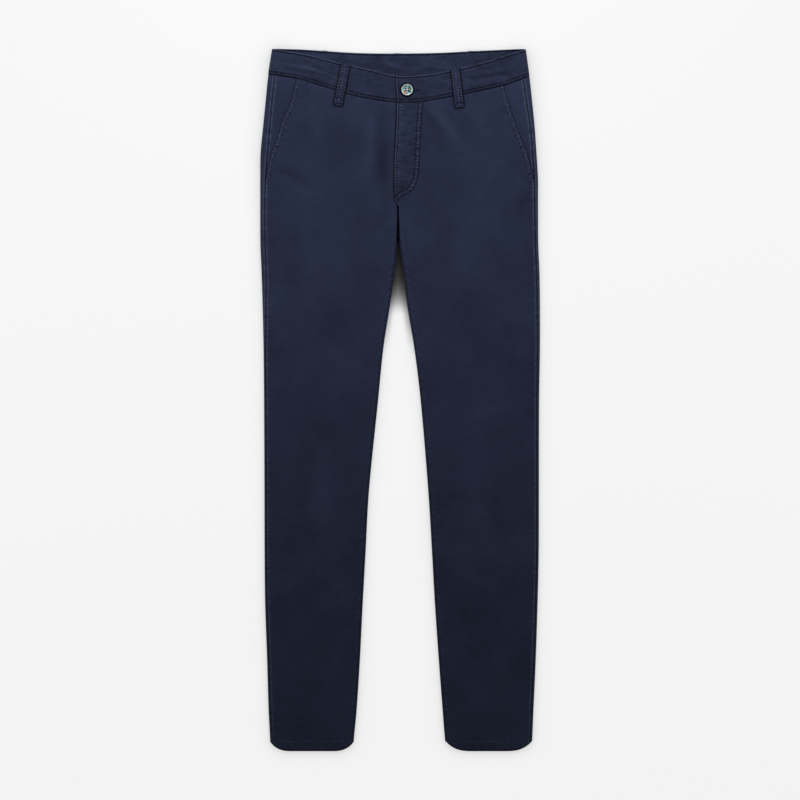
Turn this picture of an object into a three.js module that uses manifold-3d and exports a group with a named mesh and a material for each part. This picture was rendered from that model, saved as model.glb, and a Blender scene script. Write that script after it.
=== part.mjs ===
// Chino trousers laid flat, front up. Millimetres, +Z up, waist towards +Y.
// The wearer's right side is at -X. The origin is under the middle of the outline.
import * as THREE from 'three';
import { mergeVertices } from 'three/addons/utils/BufferGeometryUtils.js';
import Module from 'manifold-3d';

// Driving sizes
const clothThickness = 1.2;
const hemThickness = 2.2;
const hemDepth = 14;
const bandThickness = 2.2;
const bandStandOut = 0.7;
const seamGap = 0.3;
const layerGap = 0.4;
const loopWidth = 13;
const loopThickness = 1.4;
const loopArch = 1.4;
const crotchY = 307;
const centreX = -3.7;
const hemY = -555;
const bandEndUnderlap = 34;
const flyUnderlap = 9;
const pocketFacingReach = 16;
const buttonRadius = 9.2;
const buttonHeight = 3.4;
const buttonX = 10.9;
const buttonY = 490;

// Outline and heights, one row for each section across the garment.
// outerRight and outerLeft are the outside edges, innerRight and innerLeft the inner leg edges.
// rim is the height beside an outside edge, middle the height between the edges,
// inside the height beside an inner edge. seamRight and seamLeft: side seam to outside edge.
const sections = table(
  ['y', 'outerRight', 'innerRight', 'innerLeft', 'outerLeft', 'rim', 'middle', 'inside', 'seamRight', 'seamLeft'],
  [
    [556, -201.6, -3.7, -3.7, 198.6, 14.4, 13.9, 13.9, 10.6, 10.4],
    [512, -208.1, -3.7, -3.7, 204.4, 14.6, 13.5, 13.5, 10.6, 10.4],
    [470, -212.6, -3.7, -3.7, 209.2, 14.0, 13.0, 13.0, 10.2, 9.0],
    [430, -216.4, -3.7, -3.7, 211.8, 12.8, 11.3, 11.3, 10.6, 6.8],
    [390, -220.2, -3.7, -3.7, 214.6, 11.6, 9.3, 9.3, 10.8, 6.0],
    [350, -220.7, -3.7, -3.7, 216.9, 10.4, 7.6, 7.2, 8.2, 5.8],
    [325, -220.7, -3.9, -3.5, 216.9, 9.6, 6.6, 5.4, 7.4, 5.2],
    [307, -220.7, -4.5, -2.9, 216.9, 9.0, 5.9, 3.7, 7.3, 5.0],
    [285, -220.7, -4.6, -2.3, 216.9, 8.2, 5.3, 4.9, 7.3, 4.8],
    [247, -220.4, -4.9, -0.9, 217.1, 7.2, 4.7, 6.0, 7.3, 4.6],
    [200, -218.0, -9.8, 6.6, 219.3, 6.6, 4.3, 6.2, 7.2, 4.4],
    [150, -217.2, -17.0, 12.0, 220.0, 6.3, 4.1, 6.2, 5.4, 4.2],
    [82, -214.6, -28.2, 22.8, 220.0, 6.2, 4.0, 6.2, 3.2, 3.8],
    [0, -214.2, -37.0, 33.0, 218.7, 6.2, 4.0, 6.2, 3.0, 3.4],
    [-145, -214.4, -50.0, 46.4, 218.5, 6.2, 4.0, 6.2, 3.0, 3.2],
    [-240, -213.9, -56.2, 52.2, 218.2, 6.2, 4.0, 6.2, 3.0, 3.0],
    [-322, -212.8, -61.1, 56.4, 216.9, 6.2, 4.0, 6.2, 3.0, 3.0],
    [-410, -209.7, -65.2, 62.2, 213.9, 6.2, 4.1, 6.2, 3.0, 3.0],
    [-490, -206.8, -70.2, 68.4, 210.0, 6.4, 4.4, 6.4, 3.0, 3.0],
    [-535, -205.0, -73.0, 73.0, 207.6, 6.9, 5.4, 6.9, 3.0, 3.0],
    [-560, -204.2, -74.6, 75.6, 206.4, 7.2, 5.9, 7.2, 3.0, 3.0],
  ],
);

// Upper edge and lower seam of the band, on the front and on the back
const bandEdges = table(
  ['x', 'frontTop', 'frontSeam', 'backTop'],
  [
    [-210, 555.4, 515.0, 555.5],
    [-160, 547.8, 507.6, 554.2],
    [-134, 542.3, 499.5, 552.6],
    [-105, 534.5, 490.8, 550.6],
    [-78, 528.0, 482.5, 549.0],
    [-50, 522.2, 476.3, 548.0],
    [-6, 511.8, 470.4, 547.6],
    [30, 512.6, 470.9, 548.0],
    [57, 515.9, 475.3, 548.6],
    [85, 521.7, 480.1, 549.8],
    [127, 531.8, 488.7, 552.0],
    [160, 541.8, 496.5, 553.6],
    [184, 549.4, 504.2, 554.6],
    [206, 555.0, 512.0, 555.2],
  ],
);
const backBandDepth = 41;

// Slanted pocket mouths, and the edge of the fly
const pocketMouth = table(
  ['y', 'right', 'left'],
  [
    [510, -164.0, 160.0],
    [490, -168.5, 165.5],
    [462, -177.0, 173.8],
    [440, -187.2, 181.5],
    [415, -194.8, 191.0],
    [395, -202.2, 199.2],
    [371, -210.0, 206.2],
    [347, -212.6, 211.0],
  ],
);
const pocketMouthEnd = 347;
const flyEdge = table(
  ['y', 'x'],
  [
    [512, -6.8],
    [470, -4.6],
    [425, -6.2],
    [383, -8.2],
    [340, -9.0],
    [318, -7.2],
    [307, -3.7],
  ],
);

// Belt loops: centre line from the upper end to the lower end
const frontLoops = [
  { name: 'belt_loop_front_right', topX: -86.0, topY: 530.4, lowX: -98.4, lowY: 465.0 },
  { name: 'belt_loop_front_left', topX: 86.4, topY: 523.4, lowX: 94.0, lowY: 461.8 },
];
const backLoops = [
  { name: 'belt_loop_back_right', x: -122 },
  { name: 'belt_loop_back_centre', x: -4 },
  { name: 'belt_loop_back_left', x: 114 },
];
const backLoopLength = 63;

// Largest folds: a soft trough (height below zero) or ridge from one end to the other
const folds = [
  { fromX: -27, fromY: 468, toX: -31, toY: 318, width: 10, height: -2.0 },
  { fromX: -44, fromY: 455, toX: -48, toY: 330, width: 9, height: 0.9 },
  { fromX: -200, fromY: 366, toX: -132, toY: 330, width: 9, height: -1.2 },
  { fromX: 34, fromY: 466, toX: 80, toY: 360, width: 10, height: -1.5 },
  { fromX: 52, fromY: 462, toX: 100, toY: 392, width: 9, height: 0.9 },
  { fromX: 42, fromY: 356, toX: 50, toY: 290, width: 9, height: -0.9 },
  { fromX: 196, fromY: 322, toX: 190, toY: 280, width: 8, height: -1.0 },
  { fromX: -67, fromY: 330, toX: -68, toY: 120, width: 9, height: -0.7 },
];

// Helpers for tables and smooth steps
function table(names, rows) {
  return rows.map((row) => Object.fromEntries(names.map((name, i) => [name, row[i]])));
}

function mix(a, b, share) {
  return a + (b - a) * share;
}

function ease(from, to, at) {
  const share = Math.min(1, Math.max(0, (at - from) / (to - from)));
  return share * share * (3 - 2 * share);
}

// Reads a column of a table at any place, on a smooth curve through its rows
function read(rows, name, at) {
  const key = Object.keys(rows[0])[0];
  const rising = rows[1][key] > rows[0][key];
  const ordered = rising ? rows : [...rows].reverse();
  const last = ordered.length - 1;
  if (at <= ordered[0][key]) return ordered[0][name];
  if (at >= ordered[last][key]) return ordered[last][name];
  let i = 0;
  while (at > ordered[i + 1][key]) i += 1;
  const slope = (j) => {
    const low = ordered[Math.max(0, j - 1)];
    const high = ordered[Math.min(last, j + 1)];
    return (high[name] - low[name]) / (high[key] - low[key]);
  };
  const span = ordered[i + 1][key] - ordered[i][key];
  const s = (at - ordered[i][key]) / span;
  const a = ordered[i][name];
  const b = ordered[i + 1][name];
  return a * (1 + 2 * s) * (1 - s) ** 2 + slope(i) * span * s * (1 - s) ** 2
    + b * s * s * (3 - 2 * s) + slope(i + 1) * span * s * s * (s - 1);
}

function foldHeight(x, y) {
  let height = 0;
  for (const fold of folds) {
    const alongX = fold.toX - fold.fromX;
    const alongY = fold.toY - fold.fromY;
    const length = Math.hypot(alongX, alongY);
    const along = ((x - fold.fromX) * alongX + (y - fold.fromY) * alongY) / length;
    const across = ((x - fold.fromX) * alongY - (y - fold.fromY) * alongX) / length;
    const fade = ease(-6, length * 0.3, along) * ease(length + 6, length * 0.65, along);
    height += fold.height * fade * Math.exp(-((across / fold.width) ** 2));
  }
  return height;
}

// Upper surface of the front layer
function topHeight(x, y) {
  const onRight = x < centreX;
  const outer = read(sections, onRight ? 'outerRight' : 'outerLeft', y);
  const inner = read(sections, onRight ? 'innerRight' : 'innerLeft', y);
  const rim = read(sections, 'rim', y);
  const middle = read(sections, 'middle', y);
  const inside = read(sections, 'inside', y);
  const fromOuter = Math.max(0, Math.abs(outer - x));
  const fromInner = y < crotchY ? Math.max(0, (inner - x) * (onRight ? 1 : -1)) : Math.abs(x - centreX);
  const outerRound = rim / 2;
  const innerRound = y < crotchY ? inside / 2 : 0;
  const outerRise = (rim - middle) * Math.exp(-((Math.max(0, fromOuter - outerRound) / 18) ** 2));
  const innerRise = (inside - middle) * Math.exp(-((Math.max(0, fromInner - innerRound) / 18) ** 2));
  const leastHeight = 2 * clothThickness + 0.4;
  let height = Math.max(leastHeight, middle + outerRise + innerRise + foldHeight(x, y));
  const roll = (distance, radius) => (distance >= radius ? 1
    : 0.5 + 0.5 * Math.sqrt(Math.max(0, 1 - ((radius - distance) / radius) ** 2)));
  height *= roll(fromOuter, outerRound);
  if (innerRound > 0) height *= roll(fromInner, innerRound);
  return height;
}

// Lift of the back over the belt loops beneath it
function underLift(x, y) {
  let lift = 0;
  for (const loop of backLoops) {
    const top = read(bandEdges, 'backTop', loop.x) + 1;
    const low = top - backLoopLength;
    const acrossLoop = 1 - ease(loopWidth / 2 + 7.5, loopWidth / 2 + 24, Math.abs(x - loop.x));
    const alongLoop = ease(low - 42, low - 20, y);
    lift = Math.max(lift, acrossLoop * alongLoop);
  }
  return lift * (loopThickness + seamGap);
}

// Distance of the inner leg seam from the inner edge, growing below the crotch
function innerSeam(y) {
  return 0.5 + 2.1 * ease(crotchY, crotchY - 26, y);
}

// Lift of the hem's corners, where the edges of the leg turn
function hemRise(x) {
  const leg = x < 0 ? ['outerRight', 'innerRight'] : ['outerLeft', 'innerLeft'];
  const edges = leg.map((name) => read(sections, name, -545));
  const distance = Math.min(...edges.map((edge) => Math.abs(edge - x)));
  return 14 * Math.max(0, 1 - distance / 36) ** 3;
}

// Rows down a panel, as distances along Y at its middle
const panelRows = [
  0, -14, -32, -50, -68, -86, -104, -122, -138, -152, -164,
].map((drop) => 475 + drop).concat([
  307, 301, 294, 285, 272, 256, 236, 210, 178, 135, 85, 30, -30, -95, -160, -225,
  -290, -355, -420, -475, -515, -539.6, -541.1, -548, hemY,
]);

// Moves a row's height on the garment so that the first row follows the band and the last the hem
function rowY(nominal, x, upperEdge) {
  const toBand = ease(330, 475, nominal) ** 1.2;
  const toHem = ease(-470, -541, nominal);
  return nominal + (upperEdge - 475) * toBand + hemRise(x) * toHem;
}

function clothAt(nominal) {
  return nominal <= hemY + hemDepth ? hemThickness : clothThickness;
}

// A closed solid between a grid of outer points and the same grid moved in by the thickness
// Where upright gives 1 or -1, the inner point is straight below or above the outer one, as at a seam.
function makeShell(grid, thickness, facing, upright = () => 0) {
  const rows = grid.length;
  const columns = grid[0].length;
  const at = (r, c) => grid[Math.min(rows - 1, Math.max(0, r))][Math.min(columns - 1, Math.max(0, c))];
  const inner = grid.map((row, r) => row.map((point, c) => {
    const down = new THREE.Vector3().subVectors(at(r + 1, c), at(r - 1, c));
    const across = new THREE.Vector3().subVectors(at(r, c + 1), at(r, c - 1));
    const normal = down.cross(across).normalize().multiplyScalar(facing);
    if (upright(r, c) !== 0) normal.set(0, 0, upright(r, c));
    return point.clone().addScaledVector(normal, -thickness(r, c));
  }));
  return closeShell(grid, inner);
}

function closeShell(outer, inner) {
  const rows = outer.length;
  const columns = outer[0].length;
  const positions = [];
  for (const grid of [outer, inner]) {
    for (const row of grid) for (const point of row) positions.push(point.x, point.y, point.z);
  }
  const id = (layer, r, c) => layer * rows * columns + r * columns + c;
  const triangles = [];
  const quad = (a, b, c, d) => triangles.push(a, b, c, a, c, d);
  for (let r = 0; r + 1 < rows; r += 1) {
    for (let c = 0; c + 1 < columns; c += 1) {
      quad(id(0, r, c), id(0, r + 1, c), id(0, r + 1, c + 1), id(0, r, c + 1));
      quad(id(1, r, c), id(1, r, c + 1), id(1, r + 1, c + 1), id(1, r + 1, c));
    }
    quad(id(0, r, 0), id(1, r, 0), id(1, r + 1, 0), id(0, r + 1, 0));
    const end = columns - 1;
    quad(id(0, r, end), id(0, r + 1, end), id(1, r + 1, end), id(1, r, end));
  }
  for (let c = 0; c + 1 < columns; c += 1) {
    quad(id(0, 0, c), id(0, 0, c + 1), id(1, 0, c + 1), id(1, 0, c));
    const end = rows - 1;
    quad(id(0, end, c), id(1, end, c), id(1, end, c + 1), id(0, end, c + 1));
  }
  return solidGeometry(positions, triangles);
}

// Turns the faces outward where the enclosed volume comes out negative
function solidGeometry(positions, triangles) {
  let volume = 0;
  const point = (i) => new THREE.Vector3(positions[3 * i], positions[3 * i + 1], positions[3 * i + 2]);
  for (let i = 0; i < triangles.length; i += 3) {
    volume += point(triangles[i]).dot(point(triangles[i + 1]).cross(point(triangles[i + 2])));
  }
  const faces = [...triangles];
  if (volume < 0) for (let i = 0; i < faces.length; i += 3) [faces[i], faces[i + 1]] = [faces[i + 1], faces[i]];
  const geometry = new THREE.BufferGeometry();
  geometry.setAttribute('position', new THREE.Float32BufferAttribute(positions, 3));
  geometry.setIndex(faces);
  geometry.computeVertexNormals();
  return geometry;
}

// Even points along a line of points
function resample(line, count) {
  const lengths = [0];
  for (let i = 1; i < line.length; i += 1) lengths.push(lengths[i - 1] + line[i].distanceTo(line[i - 1]));
  const total = lengths[lengths.length - 1];
  return Array.from({ length: count }, (_, k) => {
    const target = (total * k) / (count - 1);
    let i = 1;
    while (i < line.length - 1 && lengths[i] < target) i += 1;
    const share = (target - lengths[i - 1]) / Math.max(1e-9, lengths[i] - lengths[i - 1]);
    return line[i - 1].clone().lerp(line[i], Math.min(1, Math.max(0, share)));
  });
}

// Front panels
function frontDip(x, y, side) {
  if (side > 0) {
    const placket = ease(28, 12, Math.abs(x - 14)) * ease(315, 345, y);
    return -0.7 * placket;
  }
  const edge = read(flyEdge, 'x', y);
  return (clothThickness + layerGap + 0.1) * ease(edge - 17, edge - 2, x) * ease(308, 315, y);
}

function frontEdges(y, side) {
  const right = side < 0;
  const outerEdge = read(sections, right ? 'outerRight' : 'outerLeft', y);
  const seam = outerEdge - side * (read(sections, right ? 'seamRight' : 'seamLeft', y) + seamGap);
  const mouth = read(pocketMouth, right ? 'right' : 'left', y);
  const outer = y > pocketMouthEnd ? side * Math.min(side * mouth, side * seam) : seam;
  let inner;
  if (y > crotchY) {
    const edge = read(flyEdge, 'x', y);
    inner = right ? edge - 2 * seamGap + (flyUnderlap + 2 * seamGap) * ease(317, 350, y) : edge;
  } else {
    inner = read(sections, right ? 'innerRight' : 'innerLeft', y) + side * (innerSeam(y) + 1.5 * seamGap);
  }
  return { outer, inner };
}

function frontPanel(side) {
  const columns = 13;
  const grid = panelRows.map((nominal) => Array.from({ length: columns }, (_, c) => {
    const even = c / (columns - 1);
    const share = mix(even, 0.5 - 0.5 * Math.cos(Math.PI * even), 0.4);
    let y = nominal;
    let x = 0;
    for (let pass = 0; pass < 4; pass += 1) {
      const edges = frontEdges(y, side);
      x = mix(edges.inner, edges.outer, share);
      y = rowY(nominal, x, read(bandEdges, 'frontSeam', x) - seamGap);
    }
    return new THREE.Vector3(x, y, topHeight(x, y) - frontDip(x, y, side));
  }));
  const upright = (r, c) => (c === 0 || c === columns - 1 ? 1 : 0);
  return makeShell(grid, (r) => clothAt(panelRows[r]), side, upright);
}

// Back panels: from the side seam on top, round the edge, flat beneath, and up to the inner leg seam.
// flatShares places the flat columns, with two beside each belt loop that lies beneath.
const flatShares = [0, 0.14, 0.27, 0.35, 0.491, 0.572, 0.723, 0.864, 0.945, 1];
const wrapPoints = 8;
const tailPoints = 7;

function backY(nominal, x, under) {
  const front = read(bandEdges, 'frontSeam', x);
  const back = read(bandEdges, 'backTop', x) - backBandDepth;
  return rowY(nominal, x, mix(front, back, under) - seamGap);
}

// Follows a point's own height on the garment, because the outline there gives its place across
function settle(nominal, startX, under, placeX) {
  let x = startX;
  let y = nominal;
  for (let pass = 0; pass < 4; pass += 1) {
    y = backY(nominal, x, under);
    x = placeX(y);
  }
  return { x, y };
}

function backLine(nominal, side) {
  const right = side < 0;
  const outerAt = (y) => read(sections, right ? 'outerRight' : 'outerLeft', y);
  const innerAt = (y) => read(sections, right ? 'innerRight' : 'innerLeft', y);
  const seamAt = (y) => read(sections, right ? 'seamRight' : 'seamLeft', y);
  const radiusAt = (y) => read(sections, 'rim', y) / 2;
  const edgeX = right ? -208 : 204;
  const wrap = [];
  const addTop = (share) => {
    const { x, y } = settle(nominal, edgeX, 0, (at) => {
      const far = Math.max(seamAt(at), radiusAt(at));
      return outerAt(at) - side * mix(far, radiusAt(at), share);
    });
    wrap.push(new THREE.Vector3(x, y, topHeight(x, y)));
  };
  const addTurn = (angle) => {
    const under = ease(0.25, 0.75, angle / Math.PI);
    const { x, y } = settle(nominal, edgeX, under, (at) => outerAt(at) - side * radiusAt(at) * (1 - Math.sin(angle)));
    const z = angle <= Math.PI / 2 ? topHeight(x, y) : radiusAt(y) * (1 + Math.cos(angle));
    wrap.push(new THREE.Vector3(x, y, Math.max(z, angle > 2 ? underLift(x, y) : 0)));
  };
  const atSeam = backY(nominal, edgeX, 0);
  const reachShare = Math.min(1, seamAt(atSeam) / radiusAt(atSeam));
  if (reachShare >= 1) for (let m = 0; m < 5; m += 1) addTop(m / 5);
  const first = Math.asin(1 - reachShare);
  for (let k = 0; k <= 24; k += 1) addTurn(mix(first, Math.PI, k / 24));

  const legs = nominal < crotchY;
  const turn = legs ? read(sections, 'inside', nominal) / 2 : 0;
  const curl = legs ? ease(crotchY - 1, crotchY - 24, nominal) : 0;
  const reach = innerSeam(nominal);
  const sweep = legs ? (Math.PI - Math.asin(Math.max(0, 1 - reach / turn))) * curl : 0;
  const shift = turn * (1 - Math.sin(Math.min(sweep, Math.PI / 2)));
  const endAt = (y) => (legs ? innerAt(y) + side * (turn - shift) : centreX + side * 0.15);
  const beneath = (share) => {
    const { x, y } = settle(nominal, endAt(nominal), 1, (at) => mix(
      outerAt(at) - side * radiusAt(at), endAt(at), share));
    return new THREE.Vector3(x, y, underLift(x, y));
  };
  const lastFlat = 0.985;
  const flat = flatShares.map((share) => beneath(share * lastFlat));
  const tail = [beneath(lastFlat), beneath(1)];
  if (legs) {
    for (let k = 1; k <= 20; k += 1) {
      const angle = (sweep * k) / 20;
      const { x, y } = settle(nominal, endAt(nominal), 1, (at) => endAt(at) - side * turn * Math.sin(angle));
      tail.push(new THREE.Vector3(x, y, turn * (1 - Math.cos(angle))));
    }
  }
  return [...resample(wrap, wrapPoints), ...flat.slice(1), ...resample(tail, tailPoints).slice(1)];
}

function backPanel(side) {
  const grid = panelRows.map((nominal) => backLine(nominal, side));
  const last = grid[0].length - 1;
  const upright = (r, c) => {
    if (c === 0) return 1;
    if (c < last) return 0;
    if (panelRows[r] >= crotchY) return -1;
    return panelRows[r] < crotchY - 24 ? 1 : 0;
  };
  return makeShell(grid, (r) => clothAt(panelRows[r]), side, upright);
}

// Pocket facings, seen outside the slanted mouths and running in beneath the fronts
function pocketFacing(side) {
  const right = side < 0;
  const rows = 12;
  const columns = 6;
  const grid = Array.from({ length: rows }, (_, r) => Array.from({ length: columns }, (_, c) => {
    const share = c / (columns - 1);
    const outline = (y) => {
      const outer = read(sections, right ? 'outerRight' : 'outerLeft', y);
      const seam = outer - side * (read(sections, right ? 'seamRight' : 'seamLeft', y) + seamGap);
      const mouth = read(pocketMouth, right ? 'right' : 'left', y);
      return { seam, mouth, inner: mouth - side * pocketFacingReach };
    };
    let y = 500;
    let at = outline(y);
    for (let pass = 0; pass < 4; pass += 1) {
      const top = read(bandEdges, 'frontSeam', mix(at.seam, at.inner, share)) - seamGap;
      y = mix(top, pocketMouthEnd - 6, r / (rows - 1));
      at = outline(y);
    }
    const x = mix(at.seam, at.inner, share);
    const beside = 1 - ease(0, 6, Math.abs(x - at.seam));
    const open = ease(5, 14, Math.abs(at.mouth - at.seam));
    const depth = clothThickness + layerGap - 1.1 * beside * open;
    return new THREE.Vector3(x, y, topHeight(x, y) - depth);
  }));
  return makeShell(grid, () => clothThickness, -side, (r, c) => (c === 0 ? 1 : 0));
}

// Height of the band's outer face on the front. The right end runs in beneath the left end.
function bandHeight(x, y, isRight) {
  const height = topHeight(x, y) + bandStandOut;
  if (!isRight) return height;
  const edge = read(flyEdge, 'x', y);
  return height - (bandThickness + layerGap) * ease(edge - 20, edge - 2.5, x);
}

// One strip: left end over the fly, round the left side, across the back, round the right side, right end
function waistband() {
  const acrossBand = [0, 0.06, 0.5, 0.94, 1];
  const grid = acrossBand.map((share) => {
    const sideY = mix(555.2, 513.5, share);
    const outerLeft = read(sections, 'outerLeft', sideY) + bandStandOut * 0.5;
    const outerRight = read(sections, 'outerRight', sideY) - bandStandOut * 0.5;
    const radius = (read(sections, 'rim', sideY) + bandStandOut) / 2;
    const frontY = (x) => mix(read(bandEdges, 'frontTop', x), read(bandEdges, 'frontSeam', x), share);
    const backY = (x) => read(bandEdges, 'backTop', x) - backBandDepth * share;
    const front = (x, isRight) => new THREE.Vector3(x, frontY(x), bandHeight(x, frontY(x), isRight));
    const leftFront = [];
    const start = mix(-6.8, -4.2, share);
    for (let k = 0; k <= 40; k += 1) leftFront.push(front(mix(start, outerLeft - radius, k / 40), false));
    const turnAt = (outer, side) => {
      const turn = [];
      const from = front(outer - side * radius, side < 0);
      for (let k = 0; k <= 16; k += 1) {
        const angle = (k / 16) * Math.PI;
        const x = outer - side * radius * (1 - Math.sin(angle));
        const y = mix(frontY(x), backY(x), ease(0.2, 0.8, k / 16));
        turn.push(new THREE.Vector3(x, y, (from.z / 2) * (1 + Math.cos(angle))));
      }
      return turn;
    };
    const back = [];
    for (let k = 0; k <= 90; k += 1) {
      const x = mix(outerLeft - radius, outerRight + radius, k / 90);
      back.push(new THREE.Vector3(x, backY(x), underLift(x, backY(x))));
    }
    const rightFront = [];
    const end = start + bandEndUnderlap;
    for (let k = 0; k <= 60; k += 1) rightFront.push(front(mix(outerRight + radius, end, k / 60), true));
    return [
      ...resample(leftFront, 13),
      ...resample(turnAt(outerLeft, 1), 9).slice(1),
      ...resample(back, 56).slice(1),
      ...resample(turnAt(outerRight, -1).reverse(), 9).slice(1),
      ...resample(rightFront, 20).slice(1),
    ];
  });
  return makeShell(grid, () => bandThickness, 1);
}

// Belt loops on the front stand off the band a little between their two ends
function frontLoop(loop) {
  const rows = 15;
  const columns = 4;
  const length = Math.hypot(loop.lowX - loop.topX, loop.lowY - loop.topY);
  const across = { x: -(loop.lowY - loop.topY) / length, y: (loop.lowX - loop.topX) / length };
  const grid = Array.from({ length: rows }, (_, r) => Array.from({ length: columns }, (_, c) => {
    const along = r / (rows - 1);
    const aside = (c / (columns - 1) - 0.5) * loopWidth;
    const x = mix(loop.topX, loop.lowX, along) + across.x * aside;
    const y = mix(loop.topY, loop.lowY, along) + across.y * aside;
    const seam = read(bandEdges, 'frontSeam', x);
    const beneath = topHeight(x, y) + bandStandOut * ease(seam - 8, seam - 1, y);
    const arch = loopArch * Math.min(1, Math.sin(Math.PI * along) * 1.6);
    return new THREE.Vector3(x, y, beneath + seamGap + loopThickness + arch);
  }));
  return makeShell(grid, () => loopThickness, 1);
}

// Belt loops on the back lie flat between the band and the surface
function backLoop(loop) {
  const top = read(bandEdges, 'backTop', loop.x) + 0.5;
  const rows = 9;
  const grid = Array.from({ length: rows }, (_, r) => Array.from({ length: 3 }, (_, c) => new THREE.Vector3(
    loop.x + (c / 2 - 0.5) * loopWidth, top - (backLoopLength * r) / (rows - 1), 0)));
  return makeShell(grid, () => loopThickness, -1);
}

// Button: a turned disc with a rim and four sewing holes, resting on the left end of the band
async function button() {
  const wasm = await Module();
  wasm.setup();
  const toSolid = (geometry) => {
    geometry.deleteAttribute('normal');
    geometry.deleteAttribute('uv');
    const merged = mergeVertices(geometry, 1e-4);
    return new wasm.Manifold(new wasm.Mesh({
      numProp: 3,
      vertProperties: Float32Array.from(merged.attributes.position.array),
      triVerts: Uint32Array.from(merged.index.array),
    }));
  };
  const h = buttonHeight;
  const profile = [
    [0, 0], [5.4, 0], [7.8, 0.5], [8.9, 1.3], [buttonRadius, 2.1], [9.0, 2.8], [8.3, 3.25], [7.5, h],
    [6.8, 3.2], [6.2, 2.6], [5.0, 2.35], [0, 2.3],
  ].map(([radius, height]) => new THREE.Vector2(radius, height));
  let disc = toSolid(new THREE.LatheGeometry(profile, 28).rotateX(Math.PI / 2));
  for (const [x, y] of [[1.7, 1.7], [-1.7, 1.7], [-1.7, -1.7], [1.7, -1.7]]) {
    const hole = new THREE.CylinderGeometry(0.85, 0.85, 6, 12).rotateX(Math.PI / 2).translate(x, y, 1.2);
    disc = disc.subtract(toSolid(hole));
  }
  const mesh = disc.getMesh();
  const geometry = new THREE.BufferGeometry();
  geometry.setAttribute('position', new THREE.Float32BufferAttribute([...mesh.vertProperties], 3));
  geometry.setIndex([...mesh.triVerts]);
  geometry.computeVertexNormals();
  return geometry;
}

function buttonSeat() {
  let height = 0;
  for (let angle = 0; angle < 2 * Math.PI; angle += Math.PI / 8) {
    const x = buttonX + 6 * Math.cos(angle);
    const y = buttonY + 6 * Math.sin(angle);
    height = Math.max(height, bandHeight(x, y, false));
  }
  return height + seamGap;
}

const cloth = { color: 0x262b3d, roughness: 0.92, metalness: 0 };
const horn = { color: 0xb9cfc0, roughness: 0.35, metalness: 0 };

function add(group, name, geometry, look, place = [0, 0, 0]) {
  const mesh = new THREE.Mesh(geometry, new THREE.MeshStandardMaterial(look));
  mesh.name = name;
  mesh.position.set(...place);
  group.add(mesh);
}

const trousers = new THREE.Group();
trousers.name = 'chino_trousers';
add(trousers, 'front_right', frontPanel(-1), cloth);
add(trousers, 'front_left', frontPanel(1), cloth);
add(trousers, 'back_right', backPanel(-1), cloth);
add(trousers, 'back_left', backPanel(1), cloth);
add(trousers, 'pocket_facing_right', pocketFacing(-1), cloth);
add(trousers, 'pocket_facing_left', pocketFacing(1), cloth);
add(trousers, 'waistband', waistband(), cloth);
for (const loop of frontLoops) add(trousers, loop.name, frontLoop(loop), cloth);
for (const loop of backLoops) add(trousers, loop.name, backLoop(loop), cloth);
add(trousers, 'button', await button(), horn, [buttonX, buttonY, buttonSeat()]);

export default trousers;
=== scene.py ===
import math

import bmesh
import bpy
import numpy as np
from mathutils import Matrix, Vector


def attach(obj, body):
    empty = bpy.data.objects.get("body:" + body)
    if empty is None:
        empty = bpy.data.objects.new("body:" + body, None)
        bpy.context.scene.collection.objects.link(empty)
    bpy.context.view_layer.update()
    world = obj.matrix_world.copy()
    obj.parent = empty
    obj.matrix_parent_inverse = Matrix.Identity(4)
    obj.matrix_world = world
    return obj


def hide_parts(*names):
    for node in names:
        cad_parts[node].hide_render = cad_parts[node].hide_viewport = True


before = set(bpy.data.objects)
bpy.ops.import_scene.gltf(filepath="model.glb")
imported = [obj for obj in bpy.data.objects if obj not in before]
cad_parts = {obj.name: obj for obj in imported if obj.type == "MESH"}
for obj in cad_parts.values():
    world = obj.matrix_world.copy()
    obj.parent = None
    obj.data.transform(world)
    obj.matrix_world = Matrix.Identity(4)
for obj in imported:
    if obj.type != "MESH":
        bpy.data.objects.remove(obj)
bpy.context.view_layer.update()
MM = 0.001

# Camera, straight above the middle of the outline
camera_height = 12.0
view_width = 1.2648
sensor_width = 36
outline_middle_x = -0.0003
camera_data = bpy.data.cameras.new("overhead_camera")
camera_data.sensor_width = sensor_width
camera_data.lens = sensor_width * camera_height / view_width
camera_data.clip_end = 40
camera = bpy.data.objects.new("overhead_camera", camera_data)
camera.location = (outline_middle_x, 0, camera_height)
bpy.context.collection.objects.link(camera)
bpy.context.scene.camera = camera

# Cloth sizes
CLOTH = 1.2
HEM_CLOTH = 2.2
HEM_DEPTH = 14
BAND_CLOTH = 2.2
BAND_STAND_OUT = 0.7
BAND_TOP_Y = 555.2
BAND_LOW_Y = 513.5
BAND_END_TOP_X = -6.8
BAND_END_LOW_X = -4.2
SEAM_GAP = 0.3
LAYER_GAP = 0.4
LOOP_WIDTH = 13
LOOP_CLOTH = 1.4
LOOP_ARCH = 1.4
CROTCH_Y = 307
CENTRE_X = -3.7
HEM_Y = -555
PANEL_TOP = 475
RIM_REACH = 18
LEAST_HEIGHT = 2 * CLOTH + 0.4
BAND_UNDERLAP = 34
TUCK_INTO_BAND = 0.5
FLY_UNDERLAP = 9
FACING_REACH = 16
BACK_BAND_DEPTH = 41
BACK_LOOP_LENGTH = 63
POCKET_END = 347
BUTTON_X, BUTTON_Y = 10.9, 490
BUTTON_RADIUS = 8.8

# Stitch rows, measured from the edge that they run along
MOUTH_STITCHES = (1.5, 7.2)
FLY_EDGE_STITCH = 2.6
BAND_TOP_STITCH = 3.0
BAND_LOW_STITCH = 4.0
BAND_END_STITCH = 3.2
LOOP_STITCH = 2.9

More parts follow.
